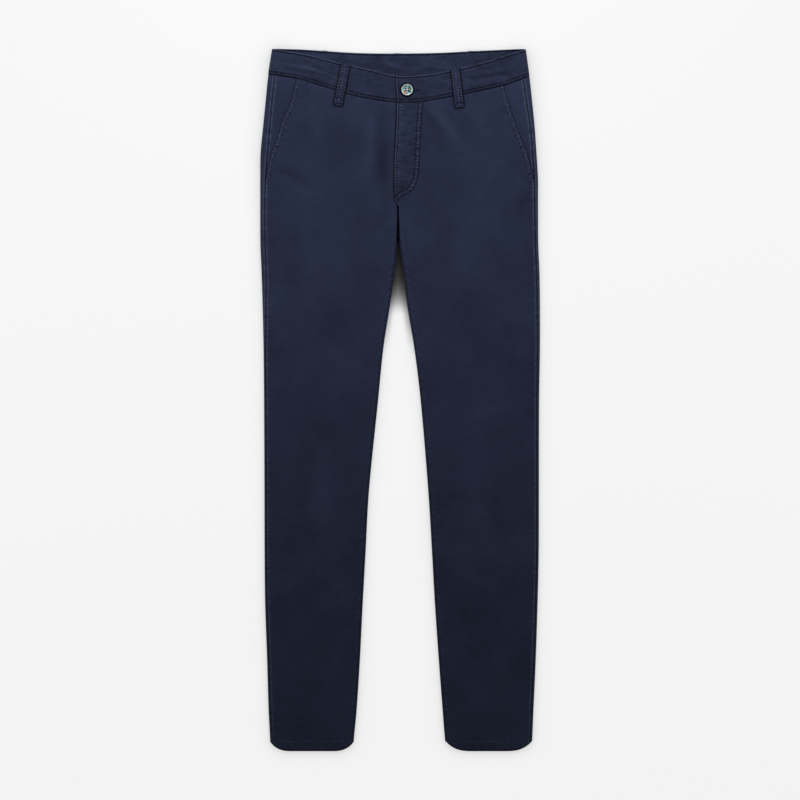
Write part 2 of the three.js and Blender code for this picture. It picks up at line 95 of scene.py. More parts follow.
# Radius of each sheet's top, bottom, first and last edge
FRONT_EDGES = (0.5, 0.9, 0.45, 0.45)
BACK_EDGES = (0.4, 0.9, 0.45, 0.45)
FACING_EDGES = (0.3, 0.3, 0.4, 0.3)
BAND_EDGES = (1.0, 0.9, 1.0, 1.0)
LOOP_EDGES = (0.6, 0.6, 0.6, 0.6)


# Tables: the first column is the place along the garment or across it
class Table:
    def __init__(self, names, rows):
        rows = sorted(rows)
        self.at = np.array([row[0] for row in rows], float)
        self.columns = {name: np.array([row[i] for row in rows], float) for i, name in enumerate(names)}
        self.slopes = {}
        for name, values in self.columns.items():
            low = np.r_[0, np.arange(len(rows) - 1)]
            high = np.r_[np.arange(1, len(rows)), len(rows) - 1]
            self.slopes[name] = (values[high] - values[low]) / (self.at[high] - self.at[low])

    def read(self, name, place):
        place = np.clip(np.asarray(place, float), self.at[0], self.at[-1])
        i = np.clip(np.searchsorted(self.at, place, side="right") - 1, 0, len(self.at) - 2)
        span = self.at[i + 1] - self.at[i]
        s = (place - self.at[i]) / span
        a, b = self.columns[name][i], self.columns[name][i + 1]
        left, right = self.slopes[name][i] * span, self.slopes[name][i + 1] * span
        return (a * (1 + 2 * s) * (1 - s) ** 2 + left * s * (1 - s) ** 2
                + b * s * s * (3 - 2 * s) + right * s * s * (s - 1))


sections = Table(
    ["y", "outer_right", "inner_right", "inner_left", "outer_left",
     "rim", "middle", "inside", "seam_right", "seam_left"],
    [
        (556, -202.1, -3.7, -3.7, 198.1, 14.4, 13.9, 13.9, 10.6, 10.4),
        (512, -208.6, -3.7, -3.7, 204.1, 14.6, 13.5, 13.5, 10.6, 10.4),
        (470, -212.9, -3.7, -3.7, 208.8, 14.0, 13.0, 13.0, 10.2, 9.0),
        (430, -216.9, -3.7, -3.7, 212.7, 12.8, 11.3, 11.3, 10.6, 6.8),
        (390, -220.7, -3.7, -3.7, 215.5, 11.6, 9.3, 9.3, 10.8, 6.0),
        (350, -221.2, -3.7, -3.7, 217.8, 10.4, 7.6, 7.2, 8.2, 5.8),
        (325, -221.2, -3.9, -3.5, 217.9, 9.6, 6.6, 5.4, 7.4, 5.2),
        (307, -221.2, -4.6, -2.7, 217.9, 9.0, 5.9, 3.7, 7.3, 5.0),
        (285, -221.2, -4.6, -2.0, 218.0, 8.2, 5.3, 4.9, 7.3, 4.8),
        (247, -221.0, -5.4, -0.7, 218.3, 7.2, 4.7, 6.0, 7.3, 4.6),
        (200, -219.1, -9.2, 5.6, 220.2, 6.6, 4.3, 6.2, 7.2, 4.4),
        (150, -217.5, -16.0, 11.0, 220.9, 6.3, 4.1, 6.2, 5.4, 4.2),
        (82, -216.0, -26.5, 22.2, 220.9, 6.2, 4.0, 6.2, 3.2, 3.8),
        (0, -215.2, -34.8, 32.2, 219.6, 6.2, 4.0, 6.2, 3.0, 3.4),
        (-145, -214.6, -49.4, 44.4, 219.3, 6.2, 4.0, 6.2, 3.0, 3.2),
        (-240, -214.4, -54.6, 50.2, 219.0, 6.2, 4.0, 6.2, 3.0, 3.0),
        (-322, -213.5, -59.2, 54.8, 217.2, 6.2, 4.0, 6.2, 3.0, 3.0),
        (-410, -210.4, -63.6, 60.9, 214.3, 6.2, 4.1, 6.2, 3.0, 3.0),
        (-490, -208.0, -68.8, 67.0, 210.7, 6.4, 4.4, 6.4, 3.0, 3.0),
        (-535, -205.7, -73.0, 70.6, 208.8, 6.9, 5.4, 6.9, 3.0, 3.0),
        (-560, -204.7, -74.6, 74.0, 207.2, 7.2, 5.9, 7.2, 3.0, 3.0),
    ],
)
band_edges = Table(
    ["x", "front_top", "front_seam", "back_top"],
    [
        (-210, 555.4, 515.0, 555.5),
        (-160, 547.8, 507.6, 554.2),
        (-134, 542.3, 499.5, 552.6),
        (-105, 534.5, 490.8, 550.6),
        (-78, 528.0, 482.5, 549.0),
        (-50, 522.2, 476.3, 548.0),
        (-6, 511.8, 470.4, 547.6),
        (30, 512.6, 470.9, 548.0),
        (57, 515.9, 475.3, 548.6),
        (85, 521.7, 480.1, 549.8),
        (127, 531.8, 488.7, 552.0),
        (160, 541.8, 496.5, 553.6),
        (184, 549.4, 504.2, 554.6),
        (206, 555.0, 512.0, 555.2),
    ],
)
pocket_mouth = Table(
    ["y", "right", "left"],
    [
        (510, -164.0, 160.0),
        (490, -168.5, 165.5),
        (462, -177.0, 173.8),
        (440, -187.2, 181.5),
        (415, -194.8, 191.0),
        (395, -202.2, 199.2),
        (371, -210.0, 206.2),
        (347, -212.6, 211.0),
    ],
)
fly_edge = Table(
    ["y", "x"],
    [(512, -6.8), (470, -4.6), (425, -6.2), (383, -8.2), (340, -9.0), (318, -7.2), (307, -3.7)],
)
# The two rows of fly stitching, measured from the fly edge out to the outer row
fly_curve = [(36.4, 476), (34.2, 452), (32.5, 425), (31.1, 396), (29.6, 362), (26.9, 347), (22.8, 337.5),
             (17.9, 331), (12.7, 327.4), (8.2, 325), (3.9, 322.6), (-1.0, 319.0)]
FLY_ROWS = 6.7
front_loops = [
    ("belt_loop_front_right", (-86.0, 530.4), (-98.4, 465.0)),
    ("belt_loop_front_left", (86.4, 523.4), (94.0, 461.8)),
]
back_loops = [("belt_loop_back_right", -122), ("belt_loop_back_centre", -4), ("belt_loop_back_left", 114)]

# Soft troughs (height below zero) and ridges, each from one end to the other
fold_names = ("from_x", "from_y", "to_x", "to_y", "width", "height")
largest_folds = [
    (-27, 468, -31, 318, 10, -3.2),
    (-44, 455, -48, 330, 9, 1.4),
    (-200, 366, -132, 330, 9, -1.9),
    (34, 466, 80, 360, 10, -2.4),
    (52, 462, 100, 392, 9, 1.4),
    (42, 356, 50, 290, 9, -1.4),
    (196, 322, 190, 280, 8, -1.6),
    (-67, 330, -68, 120, 9, -1.1),
]
small_folds = [
    (40, 462, 84, 430, 5, 0.45),
    (44, 470, 74, 462, 4, 0.3),
    (186, 362, 212, 338, 4, -0.55),
    (180, 352, 206, 330, 4, 0.4),
    (-196, 350, -150, 338, 5, 0.4),
    (-12, 300, -58, 258, 6, -0.45),
    (-10, 296, -40, 240, 5, 0.35),
    (4, 298, 52, 262, 6, -0.45),
    (6, 290, 30, 236, 5, 0.35),
    (-126, -60, -130, -240, 18, 0.5),
    (-160, -20, -148, -180, 12, -0.35),
    (112, -120, 132, -210, 16, 0.5),
    (150, -60, 160, -230, 12, -0.35),
    (-100, -370, -106, -450, 16, 0.5),
    (-150, -330, -160, -450, 10, -0.3),
    (160, -390, 170, -460, 16, 0.5),
    (110, -300, 104, -440, 10, -0.3),
    (-206, 10, -150, -6, 7, -0.35),
    (-200, -14, -146, -26, 7, 0.3),
    (206, 20, 158, 2, 7, -0.35),
    (196, -6, 150, -20, 7, 0.3),
    (-60, -60, -96, -74, 6, -0.3),
    (54, -40, 92, -56, 6, -0.3),
    (-150, 470, -120, 400, 12, 0.5),
    (-96, 440, -104, 350, 14, -0.4),
    (120, 470, 140, 400, 12, 0.5),
    (96, 300, 104, 180, 16, 0.4),
    (-140, 250, -150, 120, 16, 0.4),
    (160, 250, 166, 120, 12, -0.3),
    (-196, -470, -160, -482, 6, -0.3),
    (190, -480, 150, -470, 6, -0.3),
    (-90, -500, -120, -512, 6, -0.3),
    (-26, 415, -24, 292, 9, -1.3),
    (5, 356, 1, 296, 7, -0.7),
]
band_folds = [
    (-204, 527, -108, 510, 3.2, -1),
    (-190, 532, -120, 518, 3.2, 0.59),
    (112, 507, 200, 519, 3.2, -1),
    (118, 514, 190, 527, 3.2, 0.59),
    (-60, 500, -20, 494, 4, -0.59),
    (36, 492, 74, 497, 4, -0.59),
    (-142, 528, -97, 511, 2.4, -1.2),
]
inside_folds = [
    (-30, 534, 8, 520, 4, 0.9),
    (-36, 529, 4, 514, 6, -0.9),
    (-24, 524, 2, 514, 4, -0.5),
    (-90, 544, -40, 534, 5, 0.5),
    (40, 530, 90, 540, 5, 0.5),
    (-150, 548, -110, 541, 4, 0.4),
    (120, 538, 160, 547, 4, 0.4),
]


def mix(a, b, share):
    return a + (b - a) * share


def ease(start, end, at):
    share = np.clip((np.asarray(at, float) - start) / (end - start), 0, 1)
    return share * share * (3 - 2 * share)


def fold_height(folds, x, y):
    height = np.zeros(np.broadcast(x, y).shape)
    for row in folds:
        fold = dict(zip(fold_names, row))
        along_x, along_y = fold["to_x"] - fold["from_x"], fold["to_y"] - fold["from_y"]
        length = math.hypot(along_x, along_y)
        along = ((x - fold["from_x"]) * along_x + (y - fold["from_y"]) * along_y) / length
        across = ((x - fold["from_x"]) * along_y - (y - fold["from_y"]) * along_x) / length
        fade = ease(-6, length * 0.3, along) * ease(-length - 6, -length * 0.65, -along)
        height = height + fold["height"] * fade * np.exp(-((across / fold["width"]) ** 2))
    return height


# Upper surface of the front layer, the same as the solids', with smaller folds added
def top_height(x, y):
    x, y = np.broadcast_arrays(np.asarray(x, float), np.asarray(y, float))
    right = x < CENTRE_X
    outer = np.where(right, sections.read("outer_right", y), sections.read("outer_left", y))
    inner = np.where(right, sections.read("inner_right", y), sections.read("inner_left", y))
    rim, middle, inside = (sections.read(name, y) for name in ("rim", "middle", "inside"))
    from_outer = np.abs(outer - x)
    from_leg_edge = np.maximum(0, (inner - x) * np.where(right, 1, -1))
    from_inner = np.where(y < CROTCH_Y, from_leg_edge, np.abs(x - CENTRE_X))
    outer_round = rim / 2
    inner_round = np.where(y < CROTCH_Y, inside / 2, 1e-6)
    outer_rise = (rim - middle) * np.exp(-((np.maximum(0, from_outer - outer_round) / RIM_REACH) ** 2))
    inner_rise = (inside - middle) * np.exp(-((np.maximum(0, from_inner - inner_round) / RIM_REACH) ** 2))
    folds = fold_height(largest_folds, x, y) + fold_height(small_folds, x, y) * ease(3, 16, from_outer)
    height = np.maximum(LEAST_HEIGHT, middle + outer_rise + inner_rise + folds)

    def roll(distance, radius):
        return 0.5 + 0.5 * np.sqrt(np.clip(1 - (np.maximum(0, radius - distance) / radius) ** 2, 0, 1))

    return height * roll(from_outer, outer_round) * np.where(y < CROTCH_Y, roll(from_inner, inner_round), 1)


def under_lift(x, y):
    lift = np.zeros(np.broadcast(x, y).shape)
    for _, loop_x in back_loops:
        low = band_edges.read("back_top", loop_x) + 1 - BACK_LOOP_LENGTH
        across = 1 - ease(LOOP_WIDTH / 2 + 7.5, LOOP_WIDTH / 2 + 24, np.abs(x - loop_x))
        lift = np.maximum(lift, across * ease(low - 42, low - 20, y))
    return lift * (LOOP_CLOTH + SEAM_GAP)


def inner_seam(y):
    return 0.5 + 2.1 * ease(-CROTCH_Y + 40, -CROTCH_Y + 90, -np.asarray(y, float))


def hem_rise(x):
    x = np.asarray(x, float)
    distance = np.full(x.shape, 99.0)
    for side in ("right", "left"):
        for edge in ("outer_", "inner_"):
            own = x < 0 if side == "right" else x >= 0
            away = np.abs(sections.read(edge + side, -545) - x)
            distance = np.where(own, np.minimum(distance, away), distance)
    corner_rise = np.where(x < 0, 14, 15.5)
    corner_reach = np.where(x < 0, 36, 44)
    return corner_rise * np.maximum(0, 1 - distance / corner_reach) ** 3


def row_y(nominal, x, upper_edge):
    """Height on the page of a row that is level on the leg and follows the band and the hem at its ends."""
    to_band = ease(330, PANEL_TOP, nominal) ** 1.2
    to_hem = ease(470, 541, -nominal)
    return nominal + (upper_edge - PANEL_TOP) * to_band + hem_rise(x) * to_hem


def panel_rows():
    hip_rows = np.arange(PANEL_TOP, 305, -3.4)
    crotch_rows = np.arange(305, 270, -3)
    leg_rows = np.arange(268, -528, -7.5)
    hem_rows = [-530, -535, -539, -539.9, -540.7, -541.2, -543, -546, -549, -552, HEM_Y]
    return np.concatenate([hip_rows, crotch_rows, leg_rows, hem_rows])


def cloth_at(nominal):
    return np.where(nominal <= HEM_Y + HEM_DEPTH, HEM_CLOTH, CLOTH)


# Front panels: the left one sinks a little beside the fly, the right one dips beneath it
def front_dip(x, y, side):
    if side > 0:
        return -0.7 * ease(-28, -12, -np.abs(x - 14)) * ease(315, 345, y)
    edge = fly_edge.read("x", y)
    return (CLOTH + LAYER_GAP + 0.1) * ease(-17, -2, x - edge) * ease(308, 315, y)


def front_height(x, y, side):
    return top_height(x, y) - front_dip(x, y, side) + hem_swell(y)


def hem_swell(y):
    return 0.35 * ease(535, 544, -np.asarray(y, float))


def front_edges(y, side):
    name = "left" if side > 0 else "right"
    seam = sections.read("outer_" + name, y) - side * (sections.read("seam_" + name, y) + SEAM_GAP)
    mouth = pocket_mouth.read(name, y)
    outer = np.where(y > POCKET_END, side * np.minimum(side * mouth, side * seam), seam)
    edge = fly_edge.read("x", y)
    if side < 0:
        edge = edge - 2 * SEAM_GAP + (FLY_UNDERLAP + 2 * SEAM_GAP) * ease(317, 350, y)
    leg = sections.read("inner_" + name, y) + side * (inner_seam(y) + 1.5 * SEAM_GAP)
    return outer, np.where(y > CROTCH_Y, edge, leg)


def front_grid(side):
    nominal = panel_rows()[:, None]
    even = np.linspace(0, 1, 62)[None, :]
    share = mix(even, 0.5 - 0.5 * np.cos(np.pi * even), 0.3)
    y = nominal + 0 * share
    for _ in range(5):
        outer, inner = front_edges(y, side)
        x = mix(inner, outer, share)
        y = row_y(nominal, x, band_edges.read("front_seam", x) + TUCK_INTO_BAND)
    return stack(x, y, front_height(x, y, side), cloth_at(nominal) + 0 * x)


def stack(x, y, z, t):
    return np.stack(np.broadcast_arrays(x, y, z, t), axis=-1).astype(float)


# Back panels: side seam on top, round the edge, flat beneath, up to the inner leg seam
def back_y(nominal, x, under):
    front = band_edges.read("front_seam", x)
    back = band_edges.read("back_top", x) - BACK_BAND_DEPTH
    return row_y(nominal, x, mix(front + TUCK_INTO_BAND, back - SEAM_GAP, under))


def resample(points, count):
    steps = np.linalg.norm(np.diff(points, axis=0), axis=1)
    total = np.r_[0, np.cumsum(steps)]
    places = np.linspace(0, total[-1], count)
    return np.stack([np.interp(places, total, points[:, k]) for k in range(points.shape[1])], axis=1)


def back_row(nominal, side):
    name = "left" if side > 0 else "right"
    near_outer_edge = 204.0 if side > 0 else -208.0

    def settle(start, under, place_x):
        x, y = start, nominal
        for _ in range(4):
            y = back_y(nominal, x, under)
            x = place_x(y)
        return x, y

    def outer(y):
        return sections.read("outer_" + name, y)

    def radius(y):
        return sections.read("rim", y) / 2

    at_seam = back_y(nominal, np.float64(near_outer_edge), 0)
    seam = sections.read("seam_" + name, at_seam)
    far_share = min(1.0, float(seam / radius(at_seam)))
    wrap = []
    if far_share >= 1:
        shares = np.linspace(0, 1, 8)[:-1]
        x, y = settle(near_outer_edge + 0 * shares, 0, lambda at: outer(at) - side * mix(
            np.maximum(sections.read("seam_" + name, at), radius(at)), radius(at), shares))
        wrap.append(np.stack([x, y, top_height(x, y)], axis=1))
    angle = np.linspace(math.asin(1 - far_share), math.pi, 40)
    under = ease(0.25, 0.75, angle / math.pi)
    start = near_outer_edge + 0 * angle
    x, y = settle(start, under, lambda at: outer(at) - side * radius(at) * (1 - np.sin(angle)))
    z = np.where(angle <= math.pi / 2, top_height(x, y),
                 np.maximum(radius(y) * (1 + np.cos(angle)), np.where(angle > 2, under_lift(x, y), 0)))
    wrap.append(np.stack([x, y, z], axis=1))
    legs = nominal < CROTCH_Y
    turn = float(sections.read("inside", nominal)) / 2 if legs else 0.0
    curl = float(ease(1 - CROTCH_Y, 24 - CROTCH_Y, -nominal)) if legs else 0.0
    reach = float(inner_seam(nominal))
    sweep = (math.pi - math.asin(max(0, 1 - reach / turn))) * curl if legs else 0.0
    shift = turn * (1 - math.sin(min(sweep, math.pi / 2)))

    def end(y):
        if legs:
            return sections.read("inner_" + name, y) + side * (turn - shift)
        return CENTRE_X + side * 0.15 + 0 * y

    shares = np.linspace(0, 1, 60)
    start = end(nominal) + 0 * shares
    x, y = settle(start, 1, lambda at: mix(outer(at) - side * radius(at), end(at), shares))
    flat = np.stack([x, y, under_lift(x, y)], axis=1)
    tail = flat[-2:]
    if sweep > 0:
        angle = np.linspace(0, sweep, 24)[1:]
        x, y = settle(end(nominal) + 0 * angle, 1, lambda at: end(at) - side * turn * np.sin(angle))
        tail = np.concatenate([tail, np.stack([x, y, turn * (1 - np.cos(angle))], axis=1)])
    round_the_edge = resample(np.concatenate(wrap), 18)
    beneath = resample(flat[:-1], 44)[1:]
    to_inner_seam = resample(tail, 14)[1:]
    return np.concatenate([round_the_edge, beneath, to_inner_seam])


def back_grid(side):
    nominal = panel_rows()
    rows = np.stack([back_row(n, side) for n in nominal])
    thickness = np.broadcast_to(cloth_at(nominal)[:, None, None], rows.shape[:2] + (1,))
    return np.concatenate([rows, thickness], axis=2)


# Pocket facings
def facing_grid(side):
    name = "left" if side > 0 else "right"
    share = np.linspace(0, 1, 22)[None, :]
    down = np.linspace(0, 1, 60)[:, None]

    def outline(y):
        seam = sections.read("outer_" + name, y) - side * (sections.read("seam_" + name, y) + SEAM_GAP)
        mouth = pocket_mouth.read(name, y)
        return seam, mouth, mouth - side * FACING_REACH

    y = 500 + 0 * share * down
    for _ in range(5):
        seam, mouth, inner = outline(y)
        x = mix(seam, inner, share)
        y = mix(band_edges.read("front_seam", x) + TUCK_INTO_BAND, POCKET_END - 6, down)
    seam, mouth, inner = outline(y)
    x = mix(seam, inner, share)
    outside_mouth = side * (x - mouth)
    depth = mix(0.5, CLOTH + LAYER_GAP, 1 - ease(1, 9, outside_mouth))
    return stack(x, y, top_height(x, y) - depth, CLOTH + 0 * x)


# Waistband: left end over the fly, round the left side, across the back, round the right side, right end
def band_height(x, y, is_right):
    height = top_height(x, y) + BAND_STAND_OUT + fold_height(band_folds, x, y)
    if not is_right:
        return height
    edge = fly_edge.read("x", y)
    return height - (BAND_CLOTH + LAYER_GAP) * ease(-20, -2.5, x - edge)


def band_grid():
    rows = []
    for share in np.linspace(0, 1, 21):
        side_y = mix(BAND_TOP_Y, BAND_LOW_Y, share)
        outer_left = sections.read("outer_left", side_y) + BAND_STAND_OUT * 0.5
        outer_right = sections.read("outer_right", side_y) - BAND_STAND_OUT * 0.5
        radius = (sections.read("rim", side_y) + BAND_STAND_OUT) / 2

        def front_y(x):
            return mix(band_edges.read("front_top", x), band_edges.read("front_seam", x), share)

        def back_y_at(x):
            return band_edges.read("back_top", x) - BACK_BAND_DEPTH * share

        def front(x, is_right):
            return np.stack([x, front_y(x), band_height(x, front_y(x), is_right)], axis=1)

        def turn(outer, side):
            angle = np.linspace(0, math.pi, 30)
            x = outer - side * radius * (1 - np.sin(angle))
            y = mix(front_y(x), back_y_at(x), ease(0.2, 0.8, angle / math.pi))
            top = band_height(outer - side * radius, front_y(outer - side * radius), side < 0)
            return np.stack([x, y, top / 2 * (1 + np.cos(angle))], axis=1)

        start = mix(BAND_END_TOP_X, BAND_END_LOW_X, share)
        left = front(np.linspace(start, outer_left - radius, 160), False)
        x = np.linspace(outer_left - radius, outer_right + radius, 300)
        back = np.stack([x, back_y_at(x), under_lift(x, back_y_at(x))], axis=1)
        right = front(np.linspace(outer_right + radius, start + BAND_UNDERLAP, 180), True)
        rows.append(np.concatenate([
            resample(left, 72), resample(turn(outer_left, 1), 18)[1:], resample(back, 130)[1:],
            resample(turn(outer_right, -1)[::-1], 18)[1:], resample(right, 84)[1:],
        ]))
    rows = np.stack(rows)
    thickness = np.full(rows.shape[:2] + (1,), float(BAND_CLOTH))
    # the columns that lie beneath, where the band's inner face is seen
    inside = slice(89, 218)
    thickness[:, inside, 0] += fold_height(inside_folds, rows[:, inside, 0], rows[:, inside, 1])
    return np.concatenate([rows, thickness], axis=2)


# Belt loops
def loop_frame(top, low):
    length = math.hypot(low[0] - top[0], low[1] - top[1])
    across = (-(low[1] - top[1]) / length, (low[0] - top[0]) / length)
    return length, across


def loop_height(x, y, along):
    seam = band_edges.read("front_seam", x)
    beneath = top_height(x, y) + BAND_STAND_OUT * ease(-8, -1, y - seam)
    arch = LOOP_ARCH * np.minimum(1, np.sin(math.pi * np.clip(along, 0, 1)) * 1.6)
    return beneath + SEAM_GAP + LOOP_CLOTH + arch


def front_loop_grid(top, low):
    _, across = loop_frame(top, low)
    along = np.linspace(0, 1, 44)[:, None]
    aside = np.linspace(-0.5, 0.5, 12)[None, :] * LOOP_WIDTH
    x = mix(top[0], low[0], along) + across[0] * aside
    y = mix(top[1], low[1], along) + across[1] * aside
    return stack(x, y, loop_height(x, y, along), LOOP_CLOTH + 0 * x)


def back_loop_grid(loop_x):
    top = band_edges.read("back_top", loop_x) + 0.5
    y = (top - BACK_LOOP_LENGTH * np.linspace(0, 1, 30))[:, None]
    x = loop_x + np.linspace(-0.5, 0.5, 9)[None, :] * LOOP_WIDTH
    return stack(x, y, 0, LOOP_CLOTH + 0 * x * y)


# Cloth shells
EDGE_STEPS = (0.15, 0.4, 0.8, 1.5)


def insert_beside_edges(grid, steps):
    for axis in (0, 1):
        grid = np.swapaxes(grid, 0, axis)
        for end in (False, True):
            if end:
                grid = grid[::-1]
            span = np.linalg.norm(grid[1, :, :3] - grid[0, :, :3], axis=1)[:, None]
            span = np.maximum(span, steps[-1] / 0.8)
            extra = [mix(grid[0], grid[1], step / span) for step in steps]
            grid = np.concatenate([grid[:1], np.stack(extra), grid[1:]])
            if end:
                grid = grid[::-1]
        grid = np.swapaxes(grid, 0, axis)
    return grid


def edge_distance(points, axis):
    steps = np.linalg.norm(np.diff(points, axis=axis), axis=2)
    total = np.cumsum(steps, axis=axis)
    zero = np.zeros_like(np.take(total, [0], axis=axis))
    start = np.concatenate([zero, total], axis=axis)
    return start, np.take(start, [-1], axis=axis) - start


def cloth_shell(name, grid, facing, rounding, marks):
    """Closed sheet between the outer points and the same points moved in.

    A point of the grid is x, y, z, thickness, and two values that stand the wall
    upright at the first and at the last column, 1 downward and -1 upward.
    rounding gives the edge radius of the top, bottom, first and last edge.
    """
    grid = insert_beside_edges(grid, EDGE_STEPS)
    points, thickness = grid[..., :3], grid[..., 3]
    normal = np.cross(np.gradient(points, axis=0), np.gradient(points, axis=1)) * facing
    normal /= np.maximum(np.linalg.norm(normal, axis=2, keepdims=True), 1e-9)
    top, bottom = edge_distance(points, 0)
    first, last = edge_distance(points, 1)
    for distance, way in ((first, grid[..., 4]), (last, grid[..., 5])):
        weight = ((1 - ease(0, 2.4, distance)) * np.abs(way))[..., None]
        straight = np.stack([0 * way, 0 * way, np.sign(way)], axis=-1)
        normal = mix(normal, straight, weight)
        normal /= np.maximum(np.linalg.norm(normal, axis=2, keepdims=True), 1e-9)
    drop = np.zeros(thickness.shape)
    for distance, radius in zip((top, bottom, first, last), rounding):
        if radius:
            reach = np.maximum(0, radius - distance)
            drop = np.maximum(drop, radius - np.sqrt(np.maximum(0, radius**2 - reach**2)))
    drop = np.minimum(drop, thickness * 0.46)
    outer = points - normal * drop[..., None]
    inner = points - normal * (thickness - drop)[..., None]
    rows, columns = thickness.shape
    count = rows * columns
    index = np.arange(count).reshape(rows, columns)
    corners = [index[:-1, :-1], index[1:, :-1], index[1:, 1:], index[:-1, 1:]]
    sheet = np.stack(corners, axis=-1).reshape(-1, 4)
    faces = [sheet, sheet[:, ::-1] + count]
    for line, turned in ((index[0], False), (index[-1], True), (index[:, 0], True), (index[:, -1], False)):
        wall = np.stack([line[:-1], line[1:], line[1:] + count, line[:-1] + count], axis=-1)
        faces.append(wall[:, ::-1] if turned else wall)
    faces = np.concatenate(faces)
    if facing < 0:
        faces = faces[:, ::-1]
    mesh = bpy.data.meshes.new(name)
    places = np.concatenate([outer.reshape(-1, 3), inner.reshape(-1, 3)]) * MM
    mesh.from_pydata(places.tolist(), [], faces.tolist())
    for mark_name, values in marks(points, top, bottom, first, last).items():
        field = mesh.attributes.new(mark_name, "FLOAT_VECTOR", "POINT")
        values = np.stack(np.broadcast_arrays(*values, top)[:3], axis=-1).reshape(-1, 3)
        field.data.foreach_set("vector", np.concatenate([values, values]).astype(np.float32).ravel())
    mesh.polygons.foreach_set("use_smooth", [True] * len(faces))
    mesh.update()
    piece = bpy.data.objects.new(name, mesh)
    bpy.context.collection.objects.link(piece)
    return piece


def with_walls(grid, first, last):
    """Adds the two wall directions, given for each row or for all rows."""
    rows, columns = grid.shape[:2]
    ways = [np.broadcast_to(np.reshape(way, (-1, 1)), (rows, columns)) for way in (first, last)]
    return np.concatenate([grid, np.stack(ways, axis=-1)], axis=2)


# A mark holds the distance across a seam, the distance along it, and how strongly it shows
def line_mark(points, line):
    line = np.asarray(line, float)
    start, step = line[:-1], np.diff(line, axis=0)
    length = np.linalg.norm(step, axis=1)
    reached = np.r_[0, np.cumsum(length)[:-1]]
    best = np.full(points.shape[:2], 1e9)
    across, along = np.zeros_like(best), np.zeros_like(best)
    for i in range(len(step)):
        offset_x, offset_y = points[..., 0] - start[i, 0], points[..., 1] - start[i, 1]
        share = np.clip((offset_x * step[i, 0] + offset_y * step[i, 1]) / length[i] ** 2, 0, 1)
        away = np.hypot(offset_x - share * step[i, 0], offset_y - share * step[i, 1])
        side = np.sign(offset_x * step[i, 1] - offset_y * step[i, 0])
        nearer = away < best
        best = np.where(nearer, away, best)
        across = np.where(nearer, side * away, across)
        along = np.where(nearer, reached[i] + share * length[i], along)
    return across, along


# Shader building
class Shade:
    def __init__(self, name):
        self.material = bpy.data.materials.new(name)
        self.material.use_nodes = True
        self.tree = self.material.node_tree
        self.surface = self.tree.nodes["Principled BSDF"]

    def node(self, kind, settings=None, **inputs):
        made = self.tree.nodes.new("ShaderNode" + kind)
        for key, value in (settings or {}).items():
            setattr(made, key, value)
        for key, value in inputs.items():
            self.put(made.inputs[key.replace("_", " ")], value)
        return made

    def put(self, socket, value):
        if isinstance(value, bpy.types.NodeSocket):
            self.tree.links.new(value, socket)
        else:
            socket.default_value = value

    def math(self, operation, *values):
        made = self.tree.nodes.new("ShaderNodeMath")
        made.operation = operation
        for socket, value in zip(made.inputs, values):
            self.put(socket, value)
        return made.outputs[0]

    def add(self, *values):
        total = values[0]
        for value in values[1:]:
            total = self.math("ADD", total, value)
        return total

    def times(self, *values):
        total = values[0]
        for value in values[1:]:
            total = self.math("MULTIPLY", total, value)
        return total

    def step(self, low, high, value):
        made = self.node("MapRange", {"interpolation_type": "SMOOTHSTEP"})
        for key, given in (("Value", value), ("From Min", low), ("From Max", high)):
            self.put(made.inputs[key], given)
        return made.outputs["Result"]

    def noise(self, place, scale, detail=2.0, roughness=0.5):
        made = self.node("TexNoise", Vector=place, Scale=scale, Detail=detail, Roughness=roughness)
        return self.math("SUBTRACT", made.outputs["Fac"], 0.5)

    def scaled(self, place, size):
        made = self.node("VectorMath", {"operation": "MULTIPLY"})
        self.put(made.inputs[0], place)
        made.inputs[1].default_value = size
        return made.outputs[0]

    def mark(self, name):
        made = self.node("Attribute", {"attribute_name": name})
        split = self.node("SeparateXYZ", Vector=made.outputs["Vector"])
        return split.outputs[0], split.outputs[1], split.outputs[2]

    def bump(self, height, distance):
        made = self.node("Bump", Height=height, Distance=distance, Strength=1.0)
        return made.outputs["Normal"]

    def tint(self, share, first, second):
        made = self.node("Mix", {"data_type": "RGBA"})
        for socket, value in ((made.inputs[0], share), (made.inputs[6], first), (made.inputs[7], second)):
            self.put(socket, value)
        return made.outputs[2]


